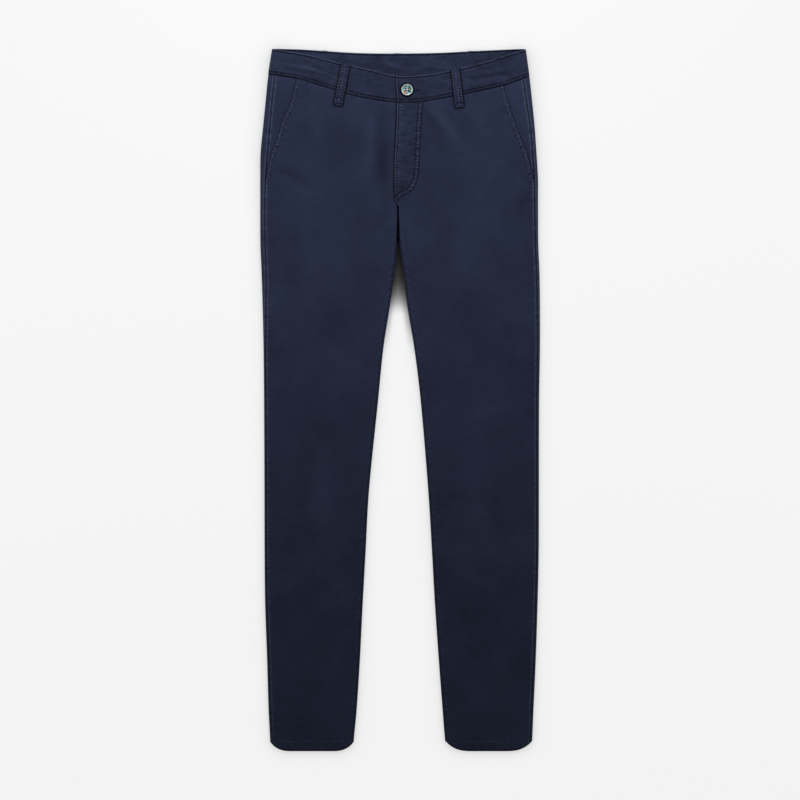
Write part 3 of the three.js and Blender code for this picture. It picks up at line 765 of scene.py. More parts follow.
# How each seam shapes the cloth: grooves as (distance, depth, width, painted shade),
# ridges as (distance, height, width), which also paint a highlight, puckers as (from, to, length along the
# seam, slant, height), and a crumpled strip as (from, to, size, height)
SEAMS = {
    "mouth": {
        "grooves": [(0.2, 0.5, 0.9, 1.0), (7.6, 0.3, 0.9, 0.3)],
        "ridges": [(3.6, 0.12, 2.4)],
        "puckers": [(0.6, 9.4, 3.9, 0.8, 0.95)],
        "crumple": (-2.0, 16.0, 9.0, 0.5),
    },
    "fly": {
        "grooves": [(0.0, 0.5, 0.9, 1.0), (FLY_ROWS, 0.5, 0.9, 0.8), (12.0, 0.0, 10.0, 0.16)],
        "ridges": [(3.5, 0.1, 2.0)],
        "puckers": [(-2.5, 9.5, 5.4, 0.1, 0.45)],
        "crumple": (-4.0, 48.0, 10.0, 1.2),
    },
    "fly_edge": {
        "grooves": [(FLY_EDGE_STITCH, 0.3, 0.8, 0.35)],
        "ridges": [(0.8, 0.8, 0.9)],
        "puckers": [(0.6, 10.0, 5.6, 0.1, 0.32)],
    },
    "fly_shadow": {"grooves": [(0.5, 0.8, 1.6, 1.0)]},
    "side": {
        "grooves": [(0.0, 0.5, 1.0, 0.6)],
        "ridges": [(1.9, 0.8, 1.5)],
        "puckers": [(0.3, 6.0, 8.0, 0.5, 0.16)],
    },
    "inner": {"puckers": [(0.0, 6.0, 12.0, 0.5, 0.2)]},
    "hem": {
        "grooves": [(0.3, 0.3, 1.5, 1.0)],
        "ridges": [(13.6, 0.1, 1.3)],
        "puckers": [(10.0, 17.0, 7.5, 0.3, 0.16), (0.5, 12.0, 12.0, 0.35, 0.1)],
    },
    # painted shade along the edges of the legs, with no groove in the surface
    "rim": {"grooves": [(0.0, 0.0, 1.3, 0.7)]},
    "panel_top": {"grooves": [(0.2, 0.8, 1.7, 1.0)], "puckers": [(1.0, 8.0, 8.0, 0.2, 0.14)]},
    "band_top": {
        "grooves": [(2.9, 0.5, 0.9, 0.9)],
        "ridges": [(0.8, 0.95, 0.9)],
        "puckers": [(1.0, 6.5, 6.4, 0.45, 0.3)],
        "crumple": (-1.0, 46.0, 16.0, 1.3),
    },
    "band_low": {
        "grooves": [(0.0, 0.6, 1.1, 1.0), (4.2, 0.6, 1.1, 0.8)],
        "puckers": [(-0.5, 7.0, 6.6, 0.3, 0.25)],
    },
    "band_end": {"grooves": [(BAND_END_STITCH, 0.4, 0.9, 0.4)], "ridges": [(0.8, 1.1, 0.9)]},
    # painted shadow along the edge of the band's overlapping end, on the part beneath it
    "under_end": {"grooves": [(BAND_UNDERLAP + 0.5, 0.8, 1.5, 1.0)]},
    "loop": {
        "grooves": [(0.0, 0.2, 0.6, 0.8), (3.0, 0.35, 0.8, 0.5)],
        "ridges": [(1.3, 0.4, 0.8)],
        "puckers": [(-0.5, 7.0, 4.4, 0.5, 0.8)],
        "crumple": (-1.0, 8.0, 5.0, 0.8),
    },
    "loop_shade": {"grooves": [(0.8, 0.3, 1.8, 1.0)]},
}


CLOTH_COLOURS = ((0.0086, 0.0116, 0.0262), (0.0150, 0.0196, 0.0418))
RUB_AND_HIGHLIGHT_COLOUR = (0.048, 0.058, 0.105, 1)
SHADED_COLOUR = (0.0, 0.0004, 0.0040, 1)
FOLD_SHADE = 0.085
FOLD_HIGHLIGHT = 0.12
RING_SHADE = 3.0


def bell(shade, across, distance, width):
    offset = shade.math("DIVIDE", shade.math("SUBTRACT", across, distance), width)
    return shade.math("POWER", math.e, shade.times(offset, offset, -1.0))


def seam_relief(shade, name, seam, place):
    """Height in millimetres, the wear and painted highlight on ridges and crests, and the painted shade in
    grooves and troughs, each from 0 to 1.
    """
    across, along, strength = shade.mark(name)
    height, rub_and_highlight, shaded = 0.0, 0.0, 0.0
    along_track = shade.times(along, 0.13)
    across_track = shade.times(across, 0.04)
    track = shade.node("CombineXYZ", X=along_track, Y=across_track, Z=len(name) * 3.7)
    uneven = shade.noise(track.outputs[0], 0.9, 3.0)
    for distance, depth, width, dark in seam.get("grooves", []):
        groove = bell(shade, across, distance, width)
        height = shade.add(height, shade.times(groove, -depth))
        # painted shade in the groove, as strong as its shade value
        shaded = shade.add(shaded, shade.times(groove, dark))
    for distance, rise, width in seam.get("ridges", []):
        kept = shade.math("MAXIMUM", shade.add(0.8, shade.times(uneven, 2.6)), 0.1)
        ridge = shade.times(bell(shade, across, distance, width), kept)
        height = shade.add(height, shade.times(ridge, rise))
        # ridges are painted lighter: a painted highlight, with some wear
        rub_and_highlight = shade.add(rub_and_highlight, shade.times(ridge, rise * 1.5))
    for near, far, length, slant, rise in seam.get("puckers", []):
        edge = min(3.0, (far - near) / 3)
        window = shade.times(shade.step(near, near + edge, across), shade.step(far, far - edge, across))
        drift = shade.noise(track.outputs[0], 5.0 / length, 3.0)
        turns = shade.times(along, 2 * math.pi / length)
        phase = shade.add(turns, shade.times(across, slant), shade.times(drift, 15.0))
        wave = shade.add(shade.times(shade.math("SINE", phase), 0.5), 0.5)
        amount = shade.math("MAXIMUM", shade.add(0.7, shade.times(uneven, 3.4)), 0.08)
        pucker = shade.times(wave, wave, window, amount)
        height = shade.add(height, shade.times(pucker, rise))
        # pucker crests are painted lighter as highlight and wear, their troughs darker as painted shade
        rub_and_highlight = shade.add(rub_and_highlight, shade.times(pucker, rise * 1.8))
        trough = shade.times(shade.math("SUBTRACT", 1.0, wave), window, amount)
        shaded = shade.add(shaded, shade.times(trough, trough, rise * 0.8))
    if "crumple" in seam:
        near, far, size, rise = seam["crumple"]
        window = shade.times(shade.step(near, near + 3.0, across), shade.step(far, far - 3.0, across))
        crumple = shade.noise(shade.scaled(place, (0.7, 1.0, 1.0)), 1000.0 / size, 3.0, 0.55)
        height = shade.add(height, shade.times(crumple, window, rise * 2.0))
        # crumple crests are painted lighter as highlight and wear, its hollows darker as painted shade
        rub_and_highlight = shade.add(rub_and_highlight, shade.times(shade.math("MAXIMUM", crumple, 0.0), window, rise * 0.5))
        hollow = shade.math("MAXIMUM", shade.times(crumple, -1.0), 0.0)
        shaded = shade.add(shaded, shade.times(hollow, window, rise * 1.2))
    return shade.times(height, strength), shade.times(rub_and_highlight, strength), shade.times(shaded, strength)


def cloth_material(name, seams, painted_shade_tone=1.0, folded=False):
    """One washed navy cloth, shaped by the seams that cross this kind of piece."""
    shade = Shade("chino_cloth_" + name)
    place = shade.node("TexCoord").outputs["Object"]
    split = shade.node("SeparateXYZ", Vector=place)
    # fine steep twill, about 0.75 mm from line to line, broken up by uneven yarn
    yarn = shade.noise(shade.scaled(place, (1.0, 0.35, 1.0)), 900.0, 2.0)
    slant = shade.add(shade.times(split.outputs[0], 7400.0), shade.times(split.outputs[1], 4000.0))
    twill = shade.times(shade.math("SINE", shade.add(slant, shade.times(yarn, 5.0))), 0.018)
    slub = shade.times(shade.noise(place, 420.0, 3.0), 0.10)
    # soft unevenness of washed cloth
    crumple = shade.times(shade.noise(shade.scaled(place, (1.0, 0.55, 1.0)), 24.0, 3.0, 0.55), 2.4)
    ripple = shade.times(shade.noise(place, 85.0, 2.0), 0.4)
    height = shade.add(twill, slub, crumple, ripple)
    rub_and_highlight, shaded = 0.0, 0.0
    for seam in seams:
        relief, ridges, grooves = seam_relief(shade, seam, SEAMS[seam], place)
        height = shade.add(height, relief)
        rub_and_highlight = shade.add(rub_and_highlight, ridges)
        shaded = shade.add(shaded, grooves)
    if folded:
        # painted shade in the troughs of the folds, painted highlight on their ridges
        fold = shade.mark("folds")[0]
        trough = shade.math("MAXIMUM", shade.times(fold, -1.0), 0.0)
        shaded = shade.add(shaded, shade.times(trough, FOLD_SHADE))
        rub_and_highlight = shade.add(rub_and_highlight, shade.times(shade.math("MAXIMUM", fold, 0.0), FOLD_HIGHLIGHT))
    if "band_end" in seams:
        # painted shadow in a ring on the band round the button, and painted shade in the buttonhole slit
        aside = shade.math("SUBTRACT", split.outputs[0], BUTTON_X * MM)
        ahead = shade.math("SUBTRACT", split.outputs[1], BUTTON_Y * MM)
        away = shade.math("SQRT", shade.add(shade.times(aside, aside), shade.times(ahead, ahead)))
        upper = shade.step(0.005, 0.007, split.outputs[2])
        slit_shade = shade.times(bell(shade, ahead, -0.6 * MM, 1.5 * MM), shade.step(0.004, 0.007, aside),
                           shade.step(0.0215, 0.0195, aside))
        ring_shadow = bell(shade, away, (BUTTON_RADIUS + 0.5) * MM, 1.9 * MM)
        shaded = shade.add(shaded, slit_shade, shade.times(ring_shadow, upper, RING_SHADE))
    shade.put(shade.surface.inputs["Normal"], shade.bump(height, 1.8 * MM))
    wash = shade.noise(place, 11.0, 4.0, 0.6)
    fleck = shade.noise(place, 700.0, 2.0)
    share = shade.add(0.5, shade.times(wash, 2.2), shade.times(fleck, 0.9))
    dark, light = [tuple(part * painted_shade_tone for part in colour) + (1,) for colour in CLOTH_COLOURS]
    base = shade.tint(share, dark, light)
    # lighter tint: wear and painted highlight; near-black tint: painted shade
    rub_and_highlight_share = shade.math("MINIMUM", shade.times(rub_and_highlight, 0.55), 0.85)
    rub_and_highlight_cloth = shade.tint(rub_and_highlight_share, base, RUB_AND_HIGHLIGHT_COLOUR)
    colour = shade.tint(shade.math("MINIMUM", shaded, 0.92), rub_and_highlight_cloth, SHADED_COLOUR)
    shade.put(shade.surface.inputs["Base Color"], colour)
    shade.surface.inputs["Roughness"].default_value = 0.92
    shade.surface.inputs["Specular IOR Level"].default_value = 0.16
    shade.surface.inputs["Sheen Weight"].default_value = 0.05
    shade.surface.inputs["Sheen Roughness"].default_value = 0.5
    shade.surface.inputs["Sheen Tint"].default_value = (0.62, 0.70, 0.95, 1)
    return shade.material


def thread_material(name, low, high, roughness, specular):
    shade = Shade(name)
    place = shade.node("TexCoord").outputs["Object"]
    twist = shade.noise(place, 1600.0, 2.0)
    shade.put(shade.surface.inputs["Normal"], shade.bump(shade.times(twist, 0.12), MM))
    share = shade.add(0.5, shade.times(twist, 1.2))
    shade.put(shade.surface.inputs["Base Color"], shade.tint(share, low, high))
    shade.surface.inputs["Roughness"].default_value = roughness
    shade.surface.inputs["Specular IOR Level"].default_value = specular
    return shade.material


def button_materials():
    rim = Shade("button_rim")
    place = rim.node("TexCoord").outputs["Object"]
    grain = rim.noise(rim.scaled(place, (1.0, 2.2, 1.0)), 260.0, 4.0, 0.6)
    rim.put(rim.surface.inputs["Base Color"],
            rim.tint(rim.add(0.5, rim.times(grain, 2.0)), (0.34, 0.37, 0.30, 1), (0.54, 0.56, 0.47, 1)))
    rim.surface.inputs["Roughness"].default_value = 0.28
    rim.surface.inputs["Coat Weight"].default_value = 0.15
    face = Shade("button_face")
    place = face.node("TexCoord").outputs["Object"]
    swirl = face.noise(place, 150.0, 3.0, 0.55)
    bands = face.math("SINE", face.times(swirl, 26.0))
    teal = face.tint(face.step(-0.5, 0.6, bands), (0.008, 0.075, 0.072, 1), (0.17, 0.36, 0.31, 1))
    patch = face.noise(face.scaled(place, (1.0, 1.0, 0.0)), 190.0, 1.0)
    colour = face.tint(face.step(0.10, 0.115, patch), teal, (0.50, 0.045, 0.035, 1))
    face.put(face.surface.inputs["Base Color"], colour)
    face.surface.inputs["Roughness"].default_value = 0.25
    face.surface.inputs["Coat Weight"].default_value = 0.2
    # near-black walls for the sewing holes: painted shade inside them
    hole = Shade("button_hole_shade")
    hole.surface.inputs["Base Color"].default_value = (0.004, 0.005, 0.008, 1)
    hole.surface.inputs["Roughness"].default_value = 0.9
    return rim.material, face.material, hole.material


FRONT_SEAMS = ("mouth", "side", "inner", "hem", "panel_top", "loop_shade")
BACK_SEAMS = ("side", "inner", "hem", "panel_top", "rim")
BAND_SEAMS = ("band_top", "band_low", "band_end", "under_end", "loop_shade")
front_cloth = {
    -1: cloth_material("front_right", FRONT_SEAMS + ("fly_shadow",), folded=True),
    1: cloth_material("front_left", FRONT_SEAMS + ("fly", "fly_edge"), folded=True),
}
back_cloth = cloth_material("back", BACK_SEAMS)
facing_cloth = cloth_material("facing", ("side", "panel_top"))
# the band is a darker copy of the same cloth: painted shade against the key light that falls brighter on it
band_cloth = cloth_material("band", BAND_SEAMS, painted_shade_tone=0.85, folded=True)
loop_cloth = cloth_material("loop", ("loop",))
navy_thread = thread_material("navy_thread", (0.003, 0.004, 0.013, 1), (0.010, 0.013, 0.036, 1), 0.8, 0.12)
cream_thread = thread_material("cream_thread", (0.44, 0.40, 0.30, 1), (0.72, 0.68, 0.56, 1), 0.6, 0.5)
button_rim, button_face, button_hole_shade = button_materials()


def dress(piece, node, material):
    piece.data.materials.append(material)
    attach(piece, "root")
    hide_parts(node)
    return piece


# Cloth pieces
def loop_outline(x, y, strength=1):
    """Distance outside the outline of the nearer front loop."""
    nearest = np.full(x.shape, 99.0)
    for _, top, low in front_loops:
        length, across = loop_frame(top, low)
        middle_x, middle_y = (top[0] + low[0]) / 2, (top[1] + low[1]) / 2
        aside = np.abs((x - middle_x) * across[0] + (y - middle_y) * across[1]) - LOOP_WIDTH / 2
        ahead = np.abs((x - middle_x) * across[1] - (y - middle_y) * across[0]) - length / 2
        beyond = np.hypot(np.maximum(aside, 0), np.maximum(ahead, 0))
        within = np.minimum(np.maximum(aside, ahead), 0)
        nearest = np.minimum(nearest, beyond + within)
    return nearest, y, strength


def front_marks(side):
    def marks(points, top, bottom, first, last):
        x, y = points[..., 0], points[..., 1]
        at_mouth = ease(346, 351, y)
        on_leg = ease(-300, -255, -y)
        largest = fold_height(largest_folds, x, y)
        small = fold_height(small_folds, x, y)
        found = {
            "loop_shade": loop_outline(x, y),
            "mouth": (last, y, at_mouth),
            "side": (last, y, 1 - at_mouth),
            "inner": (first, y, on_leg),
            "hem": (bottom, x, 1),
            "panel_top": (top, x, 1),
            "folds": (largest + 2 * small, y, 1),
        }
        if side > 0:
            across, along = line_mark(points, fly_curve)
            found["fly"] = (across, along, ease(312, 322, y))
            found["fly_edge"] = (first, y, ease(306, 316, y))
        else:
            found["fly_shadow"] = (fly_edge.read("x", y) - x, y, ease(300, 312, y))
        return found
    return marks


def back_marks(side):
    name = "left" if side > 0 else "right"

    def marks(points, top, bottom, first, last):
        x, y = points[..., 0], points[..., 1]
        from_inner = np.abs(x - sections.read("inner_" + name, y))
        from_outer = np.abs(x - sections.read("outer_" + name, y))
        return {
            "side": (first, y, 1),
            "inner": (last, y, ease(-307, -296, -y)),
            "hem": (bottom, x, 1),
            "panel_top": (top, x, 1),
            "rim": (np.minimum(from_inner, from_outer + 6 * ease(80, 200, y)), y, ease(-300, -270, -y)),
        }
    return marks


def facing_marks(points, top, bottom, first, last):
    return {"side": (first, points[..., 1], 1), "panel_top": (top, points[..., 0], 1)}


def band_marks(points, top, bottom, first, last):
    x, y = points[..., 0], points[..., 1]
    on_top = ease(6, 9, points[..., 2])
    inner_face = fold_height(inside_folds, x, y)
    outer_face = fold_height(band_folds, x, y)
    return {
        "band_top": (top, first, 1),
        "band_low": (bottom, first, 1),
        "band_end": (first, top, 1),
        "under_end": (last, top, 1),
        "loop_shade": loop_outline(x, y, on_top),
        "folds": (mix(2.5 * inner_face, 3 * outer_face, on_top), y, 1),
    }


def loop_marks(points, top, bottom, first, last):
    return {"loop": (np.minimum(first, last), top, 1)}


for side, name in ((-1, "right"), (1, "left")):
    grid = with_walls(front_grid(side), 1, 1)
    piece = cloth_shell("front_panel_" + name, grid, side, FRONT_EDGES, front_marks(side))
    dress(piece, "front_" + name, front_cloth[side])

    nominal = panel_rows()
    grid = with_walls(back_grid(side), 1, np.where(nominal >= CROTCH_Y, -1, np.where(nominal < 283, 1, 0)))
    piece = cloth_shell("back_panel_" + name, grid, side, BACK_EDGES, back_marks(side))
    dress(piece, "back_" + name, back_cloth)

    grid = with_walls(facing_grid(side), 1, 0)
    piece = cloth_shell("pocket_facing_cloth_" + name, grid, -side, FACING_EDGES, facing_marks)
    dress(piece, "pocket_facing_" + name, facing_cloth)

grid = with_walls(band_grid(), 0, 0)
piece = cloth_shell("waistband_cloth", grid, 1, BAND_EDGES, band_marks)
dress(piece, "waistband", band_cloth)

for node, top, low in front_loops:
    grid = with_walls(front_loop_grid(top, low), 0, 0)
    piece = cloth_shell(node.replace("belt_loop", "loop_cloth"), grid, 1, LOOP_EDGES, loop_marks)
    dress(piece, node, loop_cloth)
for node, loop_x in back_loops:
    grid = with_walls(back_loop_grid(loop_x), 0, 0)
    piece = cloth_shell(node.replace("belt_loop", "loop_cloth"), grid, -1, LOOP_EDGES, loop_marks)
    dress(piece, node, loop_cloth)


# Sewing: one stitch modelled once, and copied along each row
def model_stitch():
    bpy.ops.object.select_all(action="DESELECT")
    bpy.ops.mesh.primitive_uv_sphere_add(segments=6, ring_count=5, radius=1, rotation=(0, math.pi / 2, 0))
    stitch = bpy.context.object
    bpy.ops.object.transform_apply(location=True, rotation=True, scale=True)
    points = np.array([vertex.co for vertex in stitch.data.vertices])
    faces = [tuple(face.vertices) for face in stitch.data.polygons]
    bpy.data.objects.remove(stitch)
    # round thread: thick along its length, with both ends bent down into the cloth
    points[:, 0] = np.sign(points[:, 0]) * np.abs(points[:, 0]) ** 0.7
    points[:, 2] -= 1.1 * points[:, 0] ** 4
    return points, faces


STITCH_POINTS, STITCH_FACES = model_stitch()
STITCH_RADIUS = 0.27


def sew(name, stitches, material, radius=STITCH_RADIUS):
    """A joined mesh of stitches, each from one point to another on the surface."""
    ends = np.concatenate([np.asarray(run, float) for run in stitches])
    middle = ends.mean(axis=1)
    step = ends[:, 1] - ends[:, 0]
    length = np.linalg.norm(step, axis=1, keepdims=True)
    ahead = step / length
    aside = np.cross([0, 0, 1], ahead)
    aside /= np.linalg.norm(aside, axis=1, keepdims=True)
    upward = np.cross(ahead, aside)
    shape = STITCH_POINTS
    places = (middle[:, None] + ahead[:, None] * (shape[None, :, :1] * length[:, None] / 2)
              + aside[:, None] * shape[None, :, 1:2] * radius
              + upward[:, None] * (shape[None, :, 2:] * radius + radius * 0.25))
    faces = []
    for i in range(len(ends)):
        faces += [tuple(corner + i * len(shape) for corner in face) for face in STITCH_FACES]
    mesh = bpy.data.meshes.new(name)
    mesh.from_pydata((places.reshape(-1, 3) * MM).tolist(), [], faces)
    mesh.polygons.foreach_set("use_smooth", [True] * len(faces))
    mesh.materials.append(material)
    piece = bpy.data.objects.new(name, mesh)
    bpy.context.collection.objects.link(piece)
    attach(piece, "root")
    return piece


def row_of_stitches(line, height, pitch=3.0, gap=0.8):
    """Ends of the stitches along a line on the surface that height gives."""
    line = np.asarray(line, float)
    steps = np.linalg.norm(np.diff(line, axis=0), axis=1)
    total = np.r_[0, np.cumsum(steps)]
    count = max(1, round(total[-1] / pitch))
    start = np.arange(count) * total[-1] / count + gap / 2
    both = np.stack([start, start + total[-1] / count - gap], axis=1)
    x, y = np.interp(both, total, line[:, 0]), np.interp(both, total, line[:, 1])
    return np.stack([x, y, height(x, y)], axis=-1)


def offset_line(line, distance):
    line = np.asarray(line, float)
    slope = np.gradient(line, axis=0)
    slope /= np.linalg.norm(slope, axis=1, keepdims=True)
    return line + np.stack([slope[:, 1], -slope[:, 0]], axis=1) * distance


def smooth_line(line, count=80):
    line = np.asarray(line, float)
    steps = np.linalg.norm(np.diff(line, axis=0), axis=1)
    total = np.r_[0, np.cumsum(steps)]
    table = Table(("at", "x", "y"), [(at, *point) for at, point in zip(total, line)])
    at = np.linspace(0, total[-1], count)
    return np.stack([table.read("x", at), table.read("y", at)], axis=1)


def band_surface(x, y):
    return np.where(x < -7, band_height(x, y, True), band_height(x, y, False))


def band_rows():
    rows = []
    for low, high in ((-200, -8.5), (-4.5, 196)):
        x = np.linspace(low, high, 120)
        for column, rise in (("front_top", -BAND_TOP_STITCH), ("front_seam", BAND_LOW_STITCH)):
            line = np.stack([x, band_edges.read(column, x) + rise], axis=1)
            rows.append(row_of_stitches(line, band_surface))
    shares = np.linspace(0.06, 0.94, 12)
    end_x = mix(BAND_END_TOP_X, BAND_END_LOW_X, shares) + BAND_END_STITCH
    end_y = mix(band_edges.read("front_top", -4), band_edges.read("front_seam", -4), shares)
    rows.append(row_of_stitches(np.stack([end_x, end_y], axis=1), band_surface))
    return rows


def fly_rows():
    def height(x, y):
        return front_height(x, y, 1)
    curve = smooth_line(fly_curve)
    curve = curve[curve[:, 1] < band_edges.read("front_seam", 36) - 1.5]
    inner = offset_line(curve, FLY_ROWS)
    inner = inner[inner[:, 0] > fly_edge.read("x", inner[:, 1]) + 1]
    y = np.linspace(467, 322, 60)
    edge = np.stack([fly_edge.read("x", y) + FLY_EDGE_STITCH, y], axis=1)
    return [row_of_stitches(line, height) for line in (curve, inner, edge)]


def mouth_rows():
    rows = []
    for side, name in ((-1, "right"), (1, "left")):
        for inset in MOUTH_STITCHES:
            y = np.linspace(501, POCKET_END + 2, 60)
            x = pocket_mouth.read(name, y) - side * inset
            keep = y < band_edges.read("front_seam", x) - 1
            line = np.stack([x, y], axis=1)[keep]
            rows.append(row_of_stitches(line, lambda x, y, side=side: front_height(x, y, side)))
    return rows


def hem_rows():
    rows = []
    for side, name in ((-1, "right"), (1, "left")):
        outer = sections.read("outer_" + name, -542) - side * 4
        inner = sections.read("inner_" + name, -542) + side * 3.4
        x = np.linspace(inner, outer, 60)
        line = np.stack([x, row_y(-542, x, PANEL_TOP)], axis=1)
        rows.append(row_of_stitches(line, lambda x, y, side=side: front_height(x, y, side)))
    return rows


def bar(x, y, along_x, along_y, width, height, count=15, depth=1.7):
    """Close stitches side by side, across the line from the middle point."""
    shares = (np.arange(count) - (count - 1) / 2) / (count - 1) * width
    px, py = x + along_x * shares, y + along_y * shares
    lean = 0.25 * np.where(np.arange(count) % 2, 1, -1)
    ends = [(px - along_y * depth / 2 - along_x * lean, py + along_x * depth / 2 - along_y * lean),
            (px + along_y * depth / 2 + along_x * lean, py - along_x * depth / 2 + along_y * lean)]
    return np.stack([np.stack([ex, ey, height(ex, ey)], axis=-1) for ex, ey in ends], axis=1)


def loop_rows_and_bars():
    rows, bars = [], []
    for _, top, low in front_loops:
        length, across = loop_frame(top, low)

        def height(x, y, top=top, low=low, length=length):
            along = ((x - top[0]) * (low[0] - top[0]) + (y - top[1]) * (low[1] - top[1])) / length**2
            return loop_height(x, y, along)

        for aside in (-1, 1):
            shift = np.array(across) * aside * (LOOP_WIDTH / 2 - LOOP_STITCH)
            line = np.linspace(np.array(top), np.array(low), 30)[1:-1] + shift
            rows.append(row_of_stitches(line, height, pitch=2.8))
        for share in (0.045, 0.955):
            x, y = mix(top[0], low[0], share), mix(top[1], low[1], share)
            bars.append(bar(x, y, *across, LOOP_WIDTH - 3.2, height))
    return rows, bars


def other_bars():
    bars = []
    for side, x, y in ((-1, -210.0, 345.5), (1, 208.0, 345.5)):
        bars.append(bar(x, y, 0.94, -0.34 * side, 6.5, lambda x, y, side=side: front_height(x, y, side), 9))
    bars.append(bar(-3.0, 316.5, 0.25, 0.97, 7.5, lambda x, y: front_height(x, y, 1), 10))
    return bars


sew("topstitching_band", band_rows(), navy_thread)
sew("topstitching_fly", fly_rows(), navy_thread)
sew("topstitching_pocket_mouths", mouth_rows(), navy_thread)
sew("topstitching_hems", hem_rows(), navy_thread)
loop_rows, loop_bars = loop_rows_and_bars()
sew("topstitching_loops", loop_rows, navy_thread)
sew("bar_tacks", loop_bars + other_bars(), navy_thread)

# Buttonhole, seen to the wearer's left of the button
BUTTONHOLE_FROM, BUTTONHOLE_TO = (13.0, 489.7), (30.6, 489.2)
BUTTONHOLE_HALF = 1.15
BUTTONHOLE_SLOPE = -0.03
hole_length = BUTTONHOLE_TO[0] - BUTTONHOLE_FROM[0]
hole_x = (BUTTONHOLE_FROM[0] + BUTTONHOLE_TO[0]) / 2
hole_y = (BUTTONHOLE_FROM[1] + BUTTONHOLE_TO[1]) / 2
hole_lips = []
for edge in (-1, 1):
    lip_y = hole_y + edge * BUTTONHOLE_HALF
    hole_lips.append(bar(hole_x, lip_y, 1, BUTTONHOLE_SLOPE, hole_length, band_surface, count=37, depth=1.9))
hole_lips.append(bar(BUTTONHOLE_TO[0] + 0.4, BUTTONHOLE_TO[1], 0, 1, 3.6, band_surface, count=9, depth=1.6))
sew("buttonhole_stitching", hole_lips, navy_thread, 0.3)


# Button: a turned disc with a raised rim, a dished face and four sewing holes
BUTTON_HEIGHT = 3.4
DISH_RADIUS = 7.4
DISH_DEPTH = 0.9
HOLE_PLACE = 2.0
HOLE_RADIUS = 1.25
SEAT_RADIUS = 6
RIM_UNDERSIDE = 5.7


def button_seat():
    angle = np.linspace(0, 2 * math.pi, 17)
    seat_x = BUTTON_X + SEAT_RADIUS * np.cos(angle)
    seat_y = BUTTON_Y + SEAT_RADIUS * np.sin(angle)
    return float(band_height(seat_x, seat_y, False).max()) + SEAM_GAP


def model_button():
    bpy.ops.object.select_all(action="DESELECT")
    seat = button_seat()
    centre = Vector((BUTTON_X, BUTTON_Y, seat + BUTTON_HEIGHT / 2)) * MM
    bpy.ops.mesh.primitive_cylinder_add(
        vertices=96, radius=BUTTON_RADIUS * MM, depth=BUTTON_HEIGHT * MM, location=centre)
    disc = bpy.context.object
    disc.name = "button_disc"
    bpy.ops.object.transform_apply(location=True, rotation=True, scale=True)
    bpy.ops.object.mode_set(mode="EDIT")

    def select_cap(upper):
        bm = bmesh.from_edit_mesh(disc.data)
        bm.faces.ensure_lookup_table()
        for face in bm.faces:
            flat = abs(face.normal.z) > 0.5
            face.select = len(face.verts) > 4 and flat and (face.normal.z > 0) == upper
        bmesh.update_edit_mesh(disc.data)

    bpy.ops.mesh.select_mode(type="FACE")
    select_cap(True)
    bpy.ops.mesh.inset(thickness=0.5 * MM)
    bpy.ops.mesh.inset(thickness=0.4 * MM)
    bpy.ops.transform.translate(value=(0, 0, -0.5 * MM))
    bpy.ops.mesh.inset(thickness=0.5 * MM)
    bpy.ops.transform.translate(value=(0, 0, -(DISH_DEPTH - 0.5) * MM))
    for _ in range(4):
        bpy.ops.mesh.inset(thickness=1.1 * MM)
    select_cap(False)
    bpy.ops.mesh.inset(thickness=1.6 * MM)
    bpy.ops.mesh.inset(thickness=1.9 * MM)
    bpy.ops.object.mode_set(mode="OBJECT")
    for vertex in disc.data.vertices:
        radius = math.hypot(vertex.co.x - centre.x, vertex.co.y - centre.y) / MM
        if vertex.co.z < centre.z:
            vertex.co.z += 1.5 * MM * max(0, (radius - RIM_UNDERSIDE) / 3.5) ** 1.6
    bevel = disc.modifiers.new("soft_edges", "BEVEL")
    bevel.width = 0.55 * MM
    bevel.segments = 4
    bevel.angle_limit = math.radians(30)
    bpy.context.view_layer.objects.active = disc
    bpy.ops.object.modifier_apply(modifier=bevel.name)
    for step_x, step_y in ((1, 1), (-1, 1), (-1, -1), (1, -1)):
        bpy.ops.object.select_all(action="DESELECT")
        place = centre + Vector((step_x, step_y, 0)) * HOLE_PLACE * MM
        bpy.ops.mesh.primitive_cylinder_add(
            vertices=32, radius=HOLE_RADIUS * MM, depth=8 * MM, location=place)
        drill = bpy.context.object
        cut = disc.modifiers.new("sewing_hole", "BOOLEAN")
        cut.operation = "DIFFERENCE"
        cut.solver = "EXACT"
        cut.object = drill
        bpy.context.view_layer.objects.active = disc
        bpy.ops.object.modifier_apply(modifier=cut.name)
        bpy.data.objects.remove(drill)
    bpy.ops.object.select_all(action="DESELECT")
    disc.select_set(True)
    bpy.context.view_layer.objects.active = disc
    bpy.ops.object.shade_smooth_by_angle(angle=math.radians(35))
    for material in (button_rim, button_face, button_hole_shade):
        disc.data.materials.append(material)
    for face in disc.data.polygons:
        aside, ahead = abs(face.center.x - centre.x) / MM, abs(face.center.y - centre.y) / MM
        by_hole = math.hypot(aside - HOLE_PLACE, ahead - HOLE_PLACE) < HOLE_RADIUS + 0.05
        in_dish = math.hypot(aside, ahead) < DISH_RADIUS + 0.1 and face.center.z > centre.z
        # painted shade on the walls of the sewing holes
        if by_hole and abs(face.normal.z) < 0.5:
            face.material_index = 2
        elif in_dish and face.normal.z > 0.3:
            face.material_index = 1
    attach(disc, "root")
    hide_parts("button")
    return seat + BUTTON_HEIGHT - DISH_DEPTH


dish_level = model_button()
strands = []
for lean in (-1, 1):
    for shift in (-0.25, 0.25):
        reach = HOLE_PLACE - 0.55
        level = dish_level + (0.15 if lean < 0 else 0.45)
        strands.append([[(BUTTON_X - lean * reach + shift, BUTTON_Y - reach - shift * lean, level),
                         (BUTTON_X + lean * reach + shift, BUTTON_Y + reach - shift * lean, level)]])
sew("button_thread", strands, cream_thread, 0.2)


